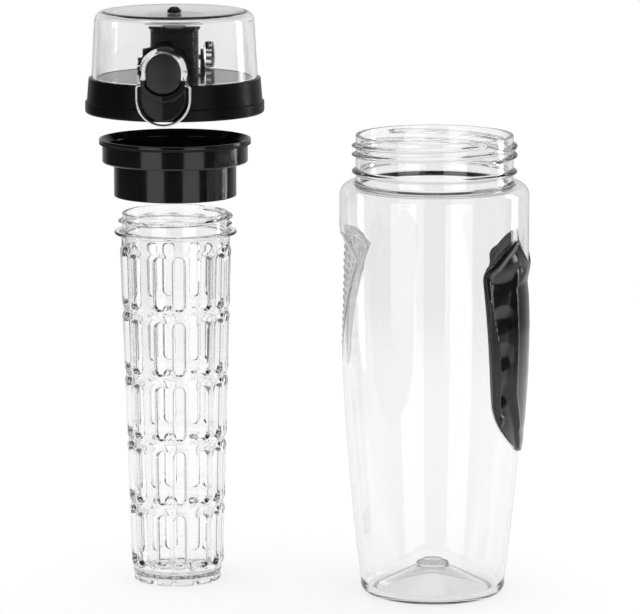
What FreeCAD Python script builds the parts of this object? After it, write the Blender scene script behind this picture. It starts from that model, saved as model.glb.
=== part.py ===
import FreeCAD, Part
import math
import os
import re

import Sketcher

# A fruit infuser water bottle, taken apart. The clear bottle stands at the origin on the floor. The infuser
# rod, its adapter ring and the flip lid stand above each other beside it. Millimetres and degrees, +Z up.

Vector = FreeCAD.Vector
TINY = 1e-7
FULL_TURN = 360
HALF_TURN = 180
UP = Vector(0, 0, 1)
SKETCH_UPRIGHT = FreeCAD.Rotation(Vector(1, 0, 0), 90)
SKETCH_SIDEWAYS = FreeCAD.Rotation(Vector(1, 1, 1), 120)
HALF_ARC_SHARE = "0.7071"

SIZES = (
    ("overrun", "3", "how far a cut runs past the wall that it opens"),
    # Bottle
    ("bottle_height", "211", "rim of the neck above the floor"),
    ("bottle_wall", "2", "thickness of the clear wall"),
    ("body_radius", "43", "widest part of the body"),
    ("straight_length", "33.5", "upper cylinder below the shoulder"),
    ("side_bulge", "2.1", "how far the tapering side bows outwards"),
    ("heel_radius", "33", "body radius just above the rounded heel"),
    ("heel_height", "5", "height of the rounded heel"),
    ("foot_radius", "30", "outer edge of the standing ring"),
    ("foot_width", "3", "width of the standing ring"),
    ("punt_height", "11.5", "height of the hollow under the base"),
    ("punt_radius", "25.5", "radius of that hollow"),
    ("punt_rise", "1", "step from the standing ring into the hollow"),
    ("nub_radius", "7.4", "lower step of the moulding nub on the inner floor"),
    ("nub_height", "1.6", "height of the lower step"),
    ("nub_top_radius", "4.9", "upper step of the nub"),
    ("nub_top_height", "1.2", "height of the upper step"),
    ("shoulder_rise", "6", "radius of the rounded shoulder"),
    ("neck_radius", "35.7", "outside of the neck between the threads"),
    ("neck_length", "21.5", "neck from the shoulder to the rim"),
    ("bead_drop", "16.7", "rim to the middle of the neck bead"),
    ("bead_height", "1.7", "how far the bead stands out"),
    ("bead_width", "2.2", "width of the bead at its root"),
    ("neck_thread_drop", "10.2", "rim to the start of the two threads"),
    ("neck_thread_lead", "8", "rise of each thread in one turn"),
    ("neck_thread_start", "-45", "angle where the first thread starts"),
    ("thread_height", "1.8", "how far a thread ridge stands out"),
    ("thread_base", "2", "width of a thread ridge at its root"),
    ("thread_tip", "0.9", "width of a thread ridge at its crest"),
    ("thread_sink", "0.4", "how deep a ridge is rooted in its wall"),
    # Finger grip on the right side
    ("grip_thickness", "3", "depth of the finger pad's pocket"),
    ("grip_fit", "0.15", "gap around both pads"),
    ("grip_drop", "17.5", "shoulder to the two upper lobes"),
    ("grip_dip", "13", "dip of the upper edge between the lobes"),
    ("grip_lobe_y", "18", "half distance between the lobes"),
    ("grip_wide_y", "35", "half width at the widest point"),
    ("grip_wide_drop", "13", "lobes to the widest point"),
    ("grip_corner", "3", "rounding at the widest point"),
    ("grip_low_y", "29.3", "half width at the lower end of the straight edge"),
    ("grip_edge_length", "61", "straight edge below the widest point"),
    ("grip_tip_y", "10.8", "half width of the rounded lower tip"),
    ("grip_tip_length", "22.6", "straight edge to the tip"),
    ("grip_tip_sag", "3.4", "rounding of the tip"),
    ("grip_bulge", "1.3", "how far the top of the pad stands out"),
    ("grip_bulge_drop", "9.6", "lobes to the bulge"),
    ("grip_waist", "1.6", "depth of the waist below the bulge"),
    ("grip_waist_drop", "21.4", "lobes to the waist"),
    ("grip_spine", "1.6", "how far the lower pad stands out"),
    ("grip_spine_drop", "28", "lobes to the start of the lower pad"),
    ("dimple_radius", "12", "radius of the finger dimples"),
    ("dimple_depth", "2.4", "depth of the finger dimples"),
    ("dimple_top_drop", "18.8", "lobes to the highest dimple"),
    ("dimple_pitch", "15.8", "distance between dimples"),
    ("dimple_count", "4", "dimples in each column"),
    ("dimple_angle", "35", "angle from the middle of the pad to a column"),
    # Thumb grip on the left side
    ("thumb_thickness", "1.5", "thickness of the thumb pad"),
    ("thumb_depth", "2.6", "depth of the thumb scoop at its top"),
    ("thumb_drop", "14.5", "shoulder to the upper edge of the scoop"),
    ("thumb_lobe_y", "8.2", "half width of the upper edge"),
    ("thumb_edge_fall", "1.5", "how far the upper edge falls to that width"),
    ("thumb_wide_y", "27.4", "half width at the widest point"),
    ("thumb_wide_drop", "12.3", "upper edge to the widest point"),
    ("thumb_low_y", "9", "half width near the lower end"),
    ("thumb_edge_length", "42.2", "straight edge below the widest point"),
    ("thumb_tip_sag", "9.5", "straight edge to the lowest point"),
    ("rib_count", "15", "horizontal ribs on the thumb pad"),
    ("rib_pitch", "3.4", "distance between ribs"),
    ("rib_top_drop", "5.5", "upper edge to the highest rib"),
    ("rib_height", "0.6", "how far a rib stands out"),
    ("rib_width", "1.9", "width of a rib at its root"),
    # Infuser rod
    ("infuser_length", "172", "rod from its foot to its rim"),
    ("infuser_wall", "1.6", "wall of the rod"),
    ("infuser_neck_radius", "24.4", "outside of the rod's threaded neck"),
    ("infuser_top_radius", "25", "outside below the flange"),
    ("infuser_low_radius", "20.6", "outside at the lower end"),
    ("infuser_thread_height", "1.9", "how far the rod's thread stands out"),
    ("infuser_thread_pitch", "4", "rise of the rod's thread in one turn"),
    ("infuser_thread_turns", "1.2", "turns of the rod's thread"),
    ("infuser_thread_start", "2.4", "thread start above the flange"),
    ("flange_drop", "8.5", "rim to the top of the flange"),
    ("flange_thickness", "1.4", "thickness of the flange"),
    ("slot_first", "17.8", "rim to the highest slots"),
    ("slot_last", "8.6", "foot to the lowest slots"),
    ("slot_width", "5.2", "width of a slot"),
    ("row_gap", "5.4", "wall between two rows of slots"),
    ("row_count", "5", "rows of slots"),
    ("pair_angle", "20.5", "angle between the two slots of a pair"),
    ("pair_count", "7", "pairs of slots around the rod"),
    ("band_rise", "0.8", "how far the slotted bands stand out"),
    ("band_margin", "1.2", "band beyond the ends of its slots"),
    ("rod_foot_height", "3", "height of the notched foot"),
    ("rod_foot_width", "1.9", "wall of the foot"),
    ("rod_foot_inset", "0.5", "foot inside the rod's lower end"),
    ("rod_heel", "3", "height of the rounded lower end"),
    ("strainer_thickness", "1.6", "thickness of the strainer floor"),
    ("notch_width", "2.6", "width of a foot notch"),
    ("notch_height", "1.8", "height of a foot notch"),
    ("notch_count", "12", "notches around the foot"),
    ("strainer_hole", "1.5", "radius of a strainer hole"),
    # Adapter ring
    ("ring_fit", "0.3", "running gap of the ring in the neck and on the rod"),
    ("ring_wall", "1.5", "wall of the adapter ring"),
    ("ring_upper", "11", "height of the wide upper part"),
    ("ring_lower", "15.5", "height of the narrow lower part"),
    ("lip_height", "1.6", "thickness of the lip"),
    ("lip_reach", "1.4", "how far the lip stands out"),
    ("seal_thickness", "0.8", "thickness of the seal under the lip"),
    ("seal_fit", "0.05", "gap between the seal and the ring's wall"),
    ("seat_gap", "0.1", "gap left where a part reaches its seat"),
    # Lid cap
    ("cap_height", "16.1", "deck above the lower edge of the skirt"),
    ("cap_wall", "1.4", "wall at the top of the skirt"),
    ("cap_fit", "0.4", "gap between the neck thread and the skirt"),
    ("deck_thickness", "2", "thickness of the deck"),
    ("skirt_flare", "0.9", "how far the skirt widens downwards"),
    ("skirt_band_height", "5.3", "height of the lower band"),
    ("skirt_band_step", "0.8", "step of the lower band"),
    ("cap_thread_drop", "11", "deck underside to the start of the inner threads"),
    ("gasket_thickness", "1.6", "thickness of the gasket under the deck"),
    ("gasket_width", "4.5", "width of that gasket"),
    ("spout_radius", "11", "outside of the spout"),
    ("spout_bore", "6", "bore of the spout"),
    ("spout_height", "23.4", "spout above the deck"),
    ("spout_lip", "0.9", "how far the spout's lip stands out"),
    ("spout_lip_height", "2", "height of the spout's lip"),
    ("spigot_radius", "9", "foot of the spout in the deck"),
    ("spigot_length", "1.5", "foot of the spout below the deck"),
    ("press_gap", "0.02", "gap of a pressed fit"),
    # Flip cover
    ("dome_gap", "0.2", "gap between the cover and the deck"),
    ("dome_inset", "1.3", "cover inside the edge of the cap"),
    ("dome_height", "30.2", "height of the cover"),
    ("dome_taper", "1.5", "how far the cover narrows upwards"),
    ("dome_wall", "2", "wall of the cover"),
    ("dome_corner", "4.5", "rounding of the upper edge"),
    ("dome_dish", "1.2", "dish in the top"),
    ("plug_disc_radius", "13.5", "soft disc under the cover's top"),
    ("plug_disc_thickness", "1.3", "thickness of that disc"),
    ("plug_top_radius", "5.6", "plug where it leaves the disc"),
    ("plug_tip_radius", "3.8", "tip of the plug"),
    ("plug_depth", "3", "how far the plug dips into the spout"),
    ("plug_gap", "0.15", "gap between the disc and the cover"),
    ("stem_radius", "2.4", "stem through the cover"),
    ("stem_fit", "0.1", "gap around the stem"),
    ("plug_cap_radius", "3.2", "head that holds the plug"),
    ("plug_cap_height", "2.7", "height of that head"),
    # Latch in front
    ("latch_gap", "0.3", "gap between the latch and the cover"),
    ("latch_fit", "0.35", "gap around the button"),
    ("plate_thickness", "1.4", "plate behind the button"),
    ("button_half", "7.9", "half width of the button"),
    ("button_bottom", "12.7", "lowest point of the button"),
    ("button_height", "18.4", "height of the button"),
    ("button_sag", "3.8", "rounding of the button's lower edge"),
    ("button_depth", "2.9", "depth of the button"),
    ("button_wall", "1.2", "wall of the button"),
    ("button_travel", "2", "how far the button goes in"),
    ("cheek_width", "1.9", "wall beside the button"),
    ("cheek_top", "19", "top of the walls beside the button"),
    ("shield_low", "10.8", "height where the shield's round end starts"),
    ("shield_setback", "0.8", "shield behind the face of the button"),
    ("lip_proud", "0.4", "lip in front of the button"),
    ("lip_width", "2.6", "width of the lip under the button"),
    ("lip_point", "2.2", "drop of the lip towards its middle"),
    ("housing_fit", "0.05", "gap between the shield and the skirt"),
    ("arch_width", "2.1", "width of the clear arch"),
    ("arch_fit", "0.5", "gap between the arch and the button"),
    ("arch_setback", "0.2", "arch behind the face of the button"),
    ("arch_gap", "0.4", "gap between the arch and the walls below it"),
    ("button_wire", "0.25", "wire radius of the button's spring"),
    ("button_coil", "2.2", "coil radius of the button's spring"),
    ("button_turns", "3", "turns of the button's spring"),
    # Wire lock
    ("wire_radius", "0.65", "radius of the lock's wire"),
    ("wire_half", "12", "half width of the loop"),
    ("wire_leg", "6.2", "straight side of the loop"),
    ("wire_bend", "1.5", "bend at the pivots"),
    ("wire_pivot_z", "17", "height of the pivots"),
    ("wire_setback", "1.25", "pivots behind the face of the shield"),
    ("wire_fit", "0.06", "gap of the wire in its holes"),
    # Hinge behind
    ("hinge_reach", "4.5", "hinge axis behind the cover"),
    ("hinge_rise", "4.4", "hinge axis above the deck"),
    ("pin_radius", "1.25", "radius of the hinge pin"),
    ("pin_fit", "0.05", "running gap on the pin"),
    ("ear_inner", "7.9", "inner face of the cap's ears"),
    ("ear_width", "2.6", "width of an ear"),
    ("ear_radius", "4", "round end of an ear"),
    ("ear_foot", "6", "lower end of an ear's web"),
    ("lug_gap", "0.2", "gap between an ear and the cover's lug"),
    ("lug_width", "3.6", "width of a lug"),
    ("lug_radius", "3.3", "round end of a lug"),
    ("lug_height", "8", "lug above the hinge axis"),
    ("lug_top_width", "2.6", "thickness of a lug at its top"),
    ("hinge_wire", "0.45", "wire radius of the hinge spring"),
    ("hinge_coil", "2.3", "coil radius of the hinge spring"),
    ("hinge_pitch", "1.5", "pitch of the hinge spring"),
    ("hinge_turns", "5", "whole turns of the hinge spring"),
    ("hinge_leg", "7.5", "leg of the spring along the skirt"),
    # Where the taken-off pieces stand
    ("stack_x", "-120", "axis of the rod, ring and lid"),
    ("stack_y", "15", "the same, away from the viewer"),
    ("lift_turns", "4", "turns that the ring is unscrewed and lifted"),
    ("lid_gap", "12", "gap between the ring and the lid"),
)

DERIVED = (
    ("neck_bore", "=neck_radius - bottle_wall"),
    ("neck_base", "=bottle_height - neck_length"),
    ("shoulder_low", "=neck_base - shoulder_rise"),
    ("straight_low", "=shoulder_low - straight_length"),
    ("grip_top", "=shoulder_low - grip_drop"),
    ("grip_wide_z", "=grip_top - grip_wide_drop"),
    ("grip_low_z", "=grip_wide_z - grip_edge_length"),
    ("grip_tip_z", "=grip_low_z - grip_tip_length"),
    ("grip_end_z", "=grip_tip_z - grip_tip_sag"),
    ("grip_bulge_z", "=grip_top - grip_bulge_drop"),
    ("grip_waist_z", "=grip_top - grip_waist_drop"),
    ("grip_spine_z", "=grip_top - grip_spine_drop"),
    ("dimple_top_z", "=grip_top - dimple_top_drop"),
    ("thumb_top", "=shoulder_low - thumb_drop"),
    ("thumb_wide_z", "=thumb_top - thumb_wide_drop"),
    ("thumb_low_z", "=thumb_wide_z - thumb_edge_length"),
    ("thumb_end_z", "=thumb_low_z - thumb_tip_sag"),
    ("rib_top_z", "=thumb_top - rib_top_drop"),
    ("slot_length", "=(infuser_length - slot_first - slot_last + row_gap) / row_count - row_gap"),
    ("row_pitch", "=slot_length + row_gap"),
    ("infuser_crest", "=infuser_neck_radius + infuser_thread_height"),
    ("flange_top", "=infuser_length - flange_drop"),
    ("flange_low", "=flange_top - flange_thickness"),
    ("rod_floor", "=rod_foot_height + strainer_thickness"),
    ("rod_body_low", "=rod_foot_height + rod_heel"),
    ("ring_bore", "=infuser_crest + ring_fit"),
    ("ring_lower_radius", "=ring_bore + ring_wall"),
    ("ring_upper_radius", "=neck_bore - ring_fit"),
    ("ring_height", "=ring_lower + ring_upper"),
    ("ring_rest", "=flange_top + seat_gap + lift_turns * infuser_thread_pitch"),
    ("lip_radius", "=ring_upper_radius + lip_reach"),
    ("lid_rest", "=ring_rest + ring_height + lid_gap"),
    ("cap_cavity", "=neck_radius + thread_height + cap_fit"),
    ("cap_radius", "=cap_cavity + cap_wall"),
    ("skirt_radius", "=cap_radius + skirt_flare"),
    ("deck_low", "=cap_height - deck_thickness"),
    ("spout_top", "=cap_height + spout_height"),
    ("dome_radius", "=cap_radius - dome_inset"),
    ("dome_base", "=cap_height + dome_gap"),
    ("dome_top", "=dome_base + dome_height"),
    ("dome_upper", "=dome_radius - dome_taper"),
    ("dome_hole", "=stem_radius + stem_fit"),
    ("plug_disc_top", "=dome_top - dome_dish - dome_wall - plug_gap"),
    ("plug_cap_low", "=dome_top - dome_dish + plug_gap"),
    ("plate_back", "=dome_radius + latch_gap"),
    ("plate_front", "=plate_back + plate_thickness"),
    ("button_back", "=plate_front + button_travel + seat_gap"),
    ("button_front", "=button_back + button_depth"),
    ("button_round", "=button_bottom + button_height - button_half"),
    ("cheek_inner", "=button_half + latch_fit"),
    ("shield_half", "=cheek_inner + cheek_width"),
    ("shield_front", "=button_front - shield_setback"),
    ("arch_inner", "=button_half + arch_fit"),
    ("arch_outer", "=arch_inner + arch_width"),
    ("wire_y", "=shield_front - wire_setback"),
    ("hinge_y", "=dome_radius + hinge_reach"),
    ("hinge_z", "=cap_height + hinge_rise"),
    ("ear_outer", "=ear_inner + ear_width"),
    ("lug_inner", "=ear_outer + lug_gap"),
    ("lug_outer", "=lug_inner + lug_width"),
)

ALIASES = {row[0] for row in SIZES + DERIVED}

doc = FreeCAD.newDocument("infuser_bottle")
sheet = doc.addObject("Spreadsheet::Sheet", "Sizes")
for line, row in enumerate(SIZES + DERIVED, start=1):
    sheet.set(f"A{line}", row[0])
    sheet.set(f"B{line}", row[1])
    sheet.setAlias(f"B{line}", row[0])
doc.recompute()


def linked(formula):
    """The formula with each alias written as a cell of the sheet."""
    return re.sub(r"[a-z_]\w*", lambda word: "Sizes." + word[0] if word[0] in ALIASES else word[0], formula)


def number(formula):
    """The formula's present value."""
    result = sheet.evalExpression(linked(formula))
    return float(getattr(result, "Value", result))


def bind(item, prop, formula):
    item.setExpression(prop, linked(formula))


# Sketches


def pin_point(sketch, geo, end, x, y):
    """Hold one end of a sketch curve at the place that two formulas give."""
    for kind, axis, formula in (("DistanceX", -2, x), ("DistanceY", -1, y)):
        size = number(formula)
        if abs(size) < TINY:
            sketch.addConstraint(Sketcher.Constraint("PointOnObject", geo, end, axis))
        else:
            index = sketch.addConstraint(Sketcher.Constraint(kind, -1, 1, geo, end, size))
            sketch.setExpression(f"Constraints[{index}]", linked(formula))


def add_arc(sketch, start, step, end):
    """Add the arc that passes the step's middle point; returns it with its first and last end."""
    mid = Vector(number(step[2]), number(step[3]), 0)
    round_form = Part.Arc(start, mid, end).toShape().Curve
    centre = round_form.Center
    circle = Part.Circle(centre, UP, round_form.Radius)
    forward = (mid - start).cross(end - mid).z > 0
    first, last = (start, end) if forward else (end, start)
    angles = [math.atan2(spot.y - centre.y, spot.x - centre.x) for spot in (first, last)]
    geo = sketch.addGeometry(Part.ArcOfCircle(circle, angles[0], angles[1]), False)
    middle = sketch.addGeometry(Part.Point(mid), True)
    sketch.addConstraint(Sketcher.Constraint("PointOnObject", middle, 1, geo))
    pin_point(sketch, middle, 1, step[2], step[3])
    return (geo, 1, 2) if forward else (geo, 2, 1)


def draw(sketch, steps, closed=True):
    """Draw an outline of (x, y) corners; a corner with two more formulas is reached by an arc over them."""
    corners = [Vector(number(step[0]), number(step[1]), 0) for step in steps]
    curves = []
    for index in range(0 if closed else 1, len(steps)):
        start, end = corners[index - 1], corners[index]
        if len(steps[index]) > 2:
            curves.append(add_arc(sketch, start, steps[index], end))
        else:
            curves.append((sketch.addGeometry(Part.LineSegment(start, end), False), 1, 2))
    if not closed:
        pin_point(sketch, curves[0][0], curves[0][1], *steps[0][:2])
    for index, (geo, first, last) in enumerate(curves):
        step = steps[index if closed else index + 1]
        pin_point(sketch, geo, last, *step[:2])
        if closed or index + 1 < len(curves):
            after = curves[(index + 1) % len(curves)]
            sketch.addConstraint(Sketcher.Constraint("Coincident", geo, last, after[0], after[1]))


def draw_circle(sketch, x, y, radius):
    """Draw a circle whose centre and radius are formulas."""
    centre = Vector(number(x), number(y), 0)
    geo = sketch.addGeometry(Part.Circle(centre, UP, number(radius)), False)
    pin_point(sketch, geo, 3, x, y)
    index = sketch.addConstraint(Sketcher.Constraint("Radius", geo, number(radius)))
    sketch.setExpression(f"Constraints[{index}]", linked(radius))


def body_sketch(body, role, name, shift=None, turn=None):
    """A sketch on one of the body's own planes, shifted along its normal or turned about the body's axis."""
    plane = next(feature for feature in body.Origin.OriginFeatures if feature.Role == role)
    sketch = body.newObject("Sketcher::SketchObject", name)
    sketch.AttachmentSupport = [(plane, "")]
    sketch.MapMode = "FlatFace"
    if turn is not None:
        turned_axis = FreeCAD.Rotation(Vector(0, 1, 0), number(turn))
        sketch.AttachmentOffset = FreeCAD.Placement(Vector(), turned_axis)
        bind(sketch, "AttachmentOffset.Rotation.Angle", turn)
    if shift is not None:
        bind(sketch, "AttachmentOffset.Base.z", shift)
    return sketch


# Features of bodies


def new_body(name):
    body = doc.addObject("PartDesign::Body", name)
    body.Label = name
    return body


def turn_on(body, name, steps, kind="PartDesign::Revolution"):
    """Turn an outline of radius and height about the body's axis, as material or as a cut."""
    sketch = body_sketch(body, "XZ_Plane", name + "_outline")
    draw(sketch, steps)
    feature = body.newObject(kind, name)
    feature.Profile = sketch
    feature.ReferenceAxis = (sketch, ["V_Axis"])
    feature.Angle = FULL_TURN
    return feature


def pad_on(body, name, role, steps, start, length):
    """Raise an outline from start, along the plane's normal, by length."""
    sketch = body_sketch(body, role, name + "_outline", shift=start)
    draw(sketch, steps)
    feature = body.newObject("PartDesign::Pad", name)
    feature.Profile = sketch
    bind(feature, "Length", length)
    return feature


def cut_on(body, name, sketch, length, both=False):
    """Cut a drawn sketch along its plane's normal, or both ways."""
    feature = body.newObject("PartDesign::Pocket", name)
    feature.Profile = sketch
    feature.Reversed = not both
    feature.Midplane = both
    bind(feature, "Length", length)
    return feature


def round_hole(body, name, role, x, y, radius, length):
    """Cut a round hole through both sides of a plane."""
    sketch = body_sketch(body, role, name + "_outline")
    draw_circle(sketch, x, y, radius)
    return cut_on(body, name, sketch, length, both=True)


def repeat_round(body, name, feature, count):
    """Repeat a feature evenly about the body's axis."""
    axis = next(item for item in body.Origin.OriginFeatures if item.Role == "Z_Axis")
    pattern = body.newObject("PartDesign::PolarPattern", name)
    pattern.Originals = [feature]
    pattern.Axis = (axis, [""])
    pattern.Angle = FULL_TURN
    bind(pattern, "Occurrences", count)
    body.Tip = pattern
    return pattern


def thread_on(body, name, root, crest, start, pitch, turns, angle="0"):
    """Wind a ridge from the root to the crest radius; a crest inside its root makes an inner thread."""
    sketch = body_sketch(body, "XZ_Plane", name + "_section", turn=angle)
    draw(sketch, [
        (root, f"{start} - thread_base / 2"),
        (crest, f"{start} - thread_tip / 2"),
        (crest, f"{start} + thread_tip / 2"),
        (root, f"{start} + thread_base / 2"),
    ])
    feature = body.newObject("PartDesign::AdditiveHelix", name)
    feature.Profile = sketch
    feature.ReferenceAxis = (sketch, ["V_Axis"])
    feature.Mode = "pitch-turns-angle"
    bind(feature, "Pitch", pitch)
    bind(feature, "Turns", turns)
    return feature


def stand_at(body, height):
    """Stand a piece of the taken-off stack at its height."""
    bind(body, "Placement.Base.x", "stack_x")
    bind(body, "Placement.Base.y", "stack_y")
    bind(body, "Placement.Base.z", height)


# Forms that are joined by booleans


def turned_form(name, steps):
    sketch = doc.addObject("Sketcher::SketchObject", name + "_outline")
    sketch.Placement = FreeCAD.Placement(Vector(), SKETCH_UPRIGHT)
    draw(sketch, steps)
    form = doc.addObject("Part::Revolution", name)
    form.Source = sketch
    form.Axis = UP
    form.Angle = FULL_TURN
    form.Solid = True
    return form


def side_prism(name, steps, towards_right):
    """An outline of the bottle's side, pushed through its wall from the axis."""
    sketch = doc.addObject("Sketcher::SketchObject", name + "_outline")
    sketch.Placement = FreeCAD.Placement(Vector(), SKETCH_SIDEWAYS)
    draw(sketch, steps)
    form = doc.addObject("Part::Extrusion", name)
    form.Base = sketch
    form.DirMode = "Normal"
    form.Reversed = not towards_right
    form.Solid = True
    bind(form, "LengthFwd", "2 * body_radius")
    return form


def boolean(kind, name, base, tool):
    form = doc.addObject(f"Part::{kind}", name)
    form.Base = base
    form.Tool = tool
    return form


def joined(name, forms):
    form = doc.addObject("Part::MultiFuse", name)
    form.Shapes = forms
    return form


# Bottle


def side_radius(height):
    """Formula of the tapering side's radius at a height below the upper cylinder."""
    share = f"(min(({height} - heel_height) / (straight_low - heel_height); 1))"
    bow = f"4 * side_bulge * {share} * (1 - {share})"
    return f"(heel_radius + (body_radius - heel_radius) * {share} + {bow})"


def side_steps(inset):
    """The body's side from the heel to the shoulder, moved inwards by inset."""
    return [
        (f"heel_radius - {inset}", "heel_height"),
        (f"body_radius - {inset}", "straight_low",
         f"(heel_radius + body_radius) / 2 + side_bulge - {inset}", "(heel_height + straight_low) / 2"),
        (f"body_radius - {inset}", "shoulder_low"),
    ]


def round_corner(radius, height, size):
    """Arc up and inwards from a wall's top, ending one size in and one size up."""
    return (f"{radius} - {size}", f"{height} + {size}",
            f"{radius} - {size} * (1 - {HALF_ARC_SHARE})", f"{height} + {size} * {HALF_ARC_SHARE}")


def side_form(name, inset):
    """Solid of the body's side at a depth, used as the floor of a pocket."""
    return turned_form(name, [("0", "heel_height"), *side_steps(inset), ("0", "shoulder_low")])


HEEL_ARC_SHARE = "0.72"


def bottle_outer():
    bead = "(bottle_height - bead_drop)"
    return turned_form("bottle_outer", [
        ("0", "punt_height"),
        ("nub_top_radius", "punt_height"),
        ("punt_radius", "punt_rise"),
        ("foot_radius - foot_width", "0"),
        ("foot_radius", "0"),
        ("heel_radius", "heel_height", f"foot_radius + (heel_radius - foot_radius) * {HEEL_ARC_SHARE}",
         f"heel_height * (1 - {HEEL_ARC_SHARE})"),
        *side_steps("0")[1:],
        round_corner("body_radius", "shoulder_low", "shoulder_rise"),
        ("neck_radius", "neck_base"),
        ("neck_radius", f"{bead} - bead_width / 2"),
        ("neck_radius + bead_height", f"{bead} - thread_tip / 2"),
        ("neck_radius + bead_height", f"{bead} + thread_tip / 2"),
        ("neck_radius", f"{bead} + bead_width / 2"),
        ("neck_radius", "bottle_height"),
        ("0", "bottle_height"),
    ])


def bottle_inner():
    floor = "(punt_height + bottle_wall)"
    inner_corner = round_corner("body_radius - bottle_wall", "shoulder_low", "(shoulder_rise - bottle_wall)")
    return turned_form("bottle_inner", [
        ("0", f"{floor} + nub_top_height"),
        ("nub_top_radius", f"{floor} + nub_top_height"),
        ("nub_top_radius", floor),
        ("nub_radius", floor),
        ("nub_radius", f"{floor} - nub_height"),
        ("punt_radius", "punt_rise + bottle_wall"),
        ("foot_radius - bottle_wall", "bottle_wall"),
        ("heel_radius - bottle_wall", "heel_height",
         f"foot_radius - bottle_wall + (heel_radius - foot_radius) * {HEEL_ARC_SHARE}",
         f"bottle_wall + (heel_height - bottle_wall) * (1 - {HEEL_ARC_SHARE})"),
        *side_steps("bottle_wall")[1:],
        inner_corner,
        ("neck_bore", "neck_base - bottle_wall"),
        ("neck_bore", "bottle_height + overrun"),
        ("0", "bottle_height + overrun"),
    ])


def both_sides(right, top_mid, end_mid):
    """Closed outline from its right half, top to bottom, and the arc points on the middle line."""
    left = []
    for above, below in zip(reversed(right[:-1]), reversed(right)):
        mid = (f"-({below[2]})", below[3]) if len(below) > 2 else ()
        left.append((f"-({above[0]})", above[1], *mid))
    first = (*right[0], "0", top_mid)
    turn = (f"-({right[-1][0]})", right[-1][1], "0", end_mid)
    return [first, *right[1:], turn, *left]


LOBE_SHARES = ("0.62", "0.66")
TIP_SHARES = ("0.3", "0.42")


def finger_outline(grow):
    """The finger pad seen from its side: two lobes above, a straight edge and a rounded tip."""
    wide_y = f"(grip_wide_y + {grow})"
    low_y = f"(grip_low_y + {grow})"
    tip_y = f"(grip_tip_y + {grow})"
    top = f"(grip_top + {grow})"
    tip_z = f"(grip_tip_z - {grow})"
    corner_z = "(grip_wide_z + grip_corner)"
    right = [
        ("grip_lobe_y", top),
        (f"{wide_y} - grip_corner", corner_z,
         f"grip_lobe_y + ({wide_y} - grip_corner - grip_lobe_y) * {LOBE_SHARES[0]}",
         f"{corner_z} + ({top} - {corner_z}) * (1 - {LOBE_SHARES[0]} * {LOBE_SHARES[1]})"),
        (wide_y, "grip_wide_z - grip_corner",
         f"{wide_y} - grip_corner / 4", "grip_wide_z + grip_corner / 4"),
        (low_y, "grip_low_z"),
        (tip_y, tip_z, f"{low_y} - ({low_y} - {tip_y}) * {TIP_SHARES[0]}",
         f"{tip_z} + (grip_low_z - {tip_z}) * {TIP_SHARES[1]}"),
    ]
    return both_sides(right, f"{top} - grip_dip", f"grip_end_z - {grow}")


def thumb_outline(grow):
    """The thumb scoop seen from its side: a wide upper part that narrows downwards."""
    wide_y = f"(thumb_wide_y + {grow})"
    low_y = f"(thumb_low_y + {grow})"
    lobe_z = f"(thumb_top - thumb_edge_fall + {grow})"
    right = [
        ("thumb_lobe_y", lobe_z),
        (wide_y, "thumb_wide_z", f"thumb_lobe_y + ({wide_y} - thumb_lobe_y) * {LOBE_SHARES[0]}",
         f"thumb_wide_z + ({lobe_z} - thumb_wide_z) * {LOBE_SHARES[1]}"),
        (low_y, "thumb_low_z"),
    ]
    return both_sides(right, f"thumb_top + {grow}", f"thumb_end_z - {grow}")


def scoop_form(name, inset):
    """Cone that the thumb scoop follows: deep at its top and level with the side at its end."""
    low = side_radius("thumb_end_z")
    slope = f"(({low} - body_radius + thumb_depth) / (thumb_top - thumb_end_z))"
    above = f"body_radius - thumb_depth - {inset} - {slope} * overrun"
    below = f"{low} - {inset} + {slope} * overrun"
    return turned_form(name, [
        ("0", "thumb_end_z - overrun"),
        (below, "thumb_end_z - overrun"),
        (above, "thumb_top + overrun"),
        ("0", "thumb_top + overrun"),
    ])


def pocket(name, outline, floor, towards_right):
    """What lies inside an outline and outside a floor form."""
    return boolean("Cut", name, side_prism(name + "_prism", outline, towards_right), floor)


def make_bottle():
    pockets = joined("grip_pockets", [
        pocket("finger_pocket", finger_outline("0"), side_form("finger_floor", "grip_thickness"), True),
        pocket("thumb_pocket", thumb_outline("0"), scoop_form("thumb_floor", "thumb_thickness"), False),
    ])
    backs = joined("grip_backs", [
        pocket("finger_back", finger_outline("bottle_wall"),
               side_form("finger_back_floor", "(grip_thickness + bottle_wall)"), True),
        pocket("thumb_back", thumb_outline("bottle_wall"),
               scoop_form("thumb_back_floor", "(thumb_thickness + bottle_wall)"), False),
    ])
    outside = boolean("Cut", "bottle_outside", bottle_outer(), pockets)
    inside = boolean("Cut", "bottle_inside", bottle_inner(), backs)
    shell = boolean("Cut", "bottle_shell", outside, inside)
    body = new_body("bottle_body")
    body.BaseFeature = shell
    for index, angle in enumerate(("neck_thread_start", f"neck_thread_start + {HALF_TURN}")):
        thread_on(body, f"neck_thread_{index}", "neck_radius - thread_sink", "neck_radius + thread_height",
                  "(bottle_height - neck_thread_drop)", "neck_thread_lead", "1", angle)
    return body


def finger_surface():
    """Profile of the finger pad: a bulge above, a waist and a long lower pad that stands out."""
    low = "(grip_end_z - overrun)"
    middle = "((grip_end_z + grip_spine_z) / 2)"
    above_waist = "((grip_waist_z + grip_bulge_z) / 2)"
    crown = "(grip_top + overrun)"
    return turned_form("finger_surface", [
        ("0", low),
        (f"{side_radius(low)} + grip_spine", low),
        (f"{side_radius('grip_spine_z')}", "grip_spine_z", f"{side_radius(middle)} + grip_spine", middle),
        (f"{side_radius(above_waist)} + grip_bulge / 2", above_waist,
         f"{side_radius('grip_waist_z')} - grip_waist", "grip_waist_z"),
        ("body_radius", crown, "body_radius + grip_bulge", "grip_bulge_z"),
        ("0", crown),
    ])


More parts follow.
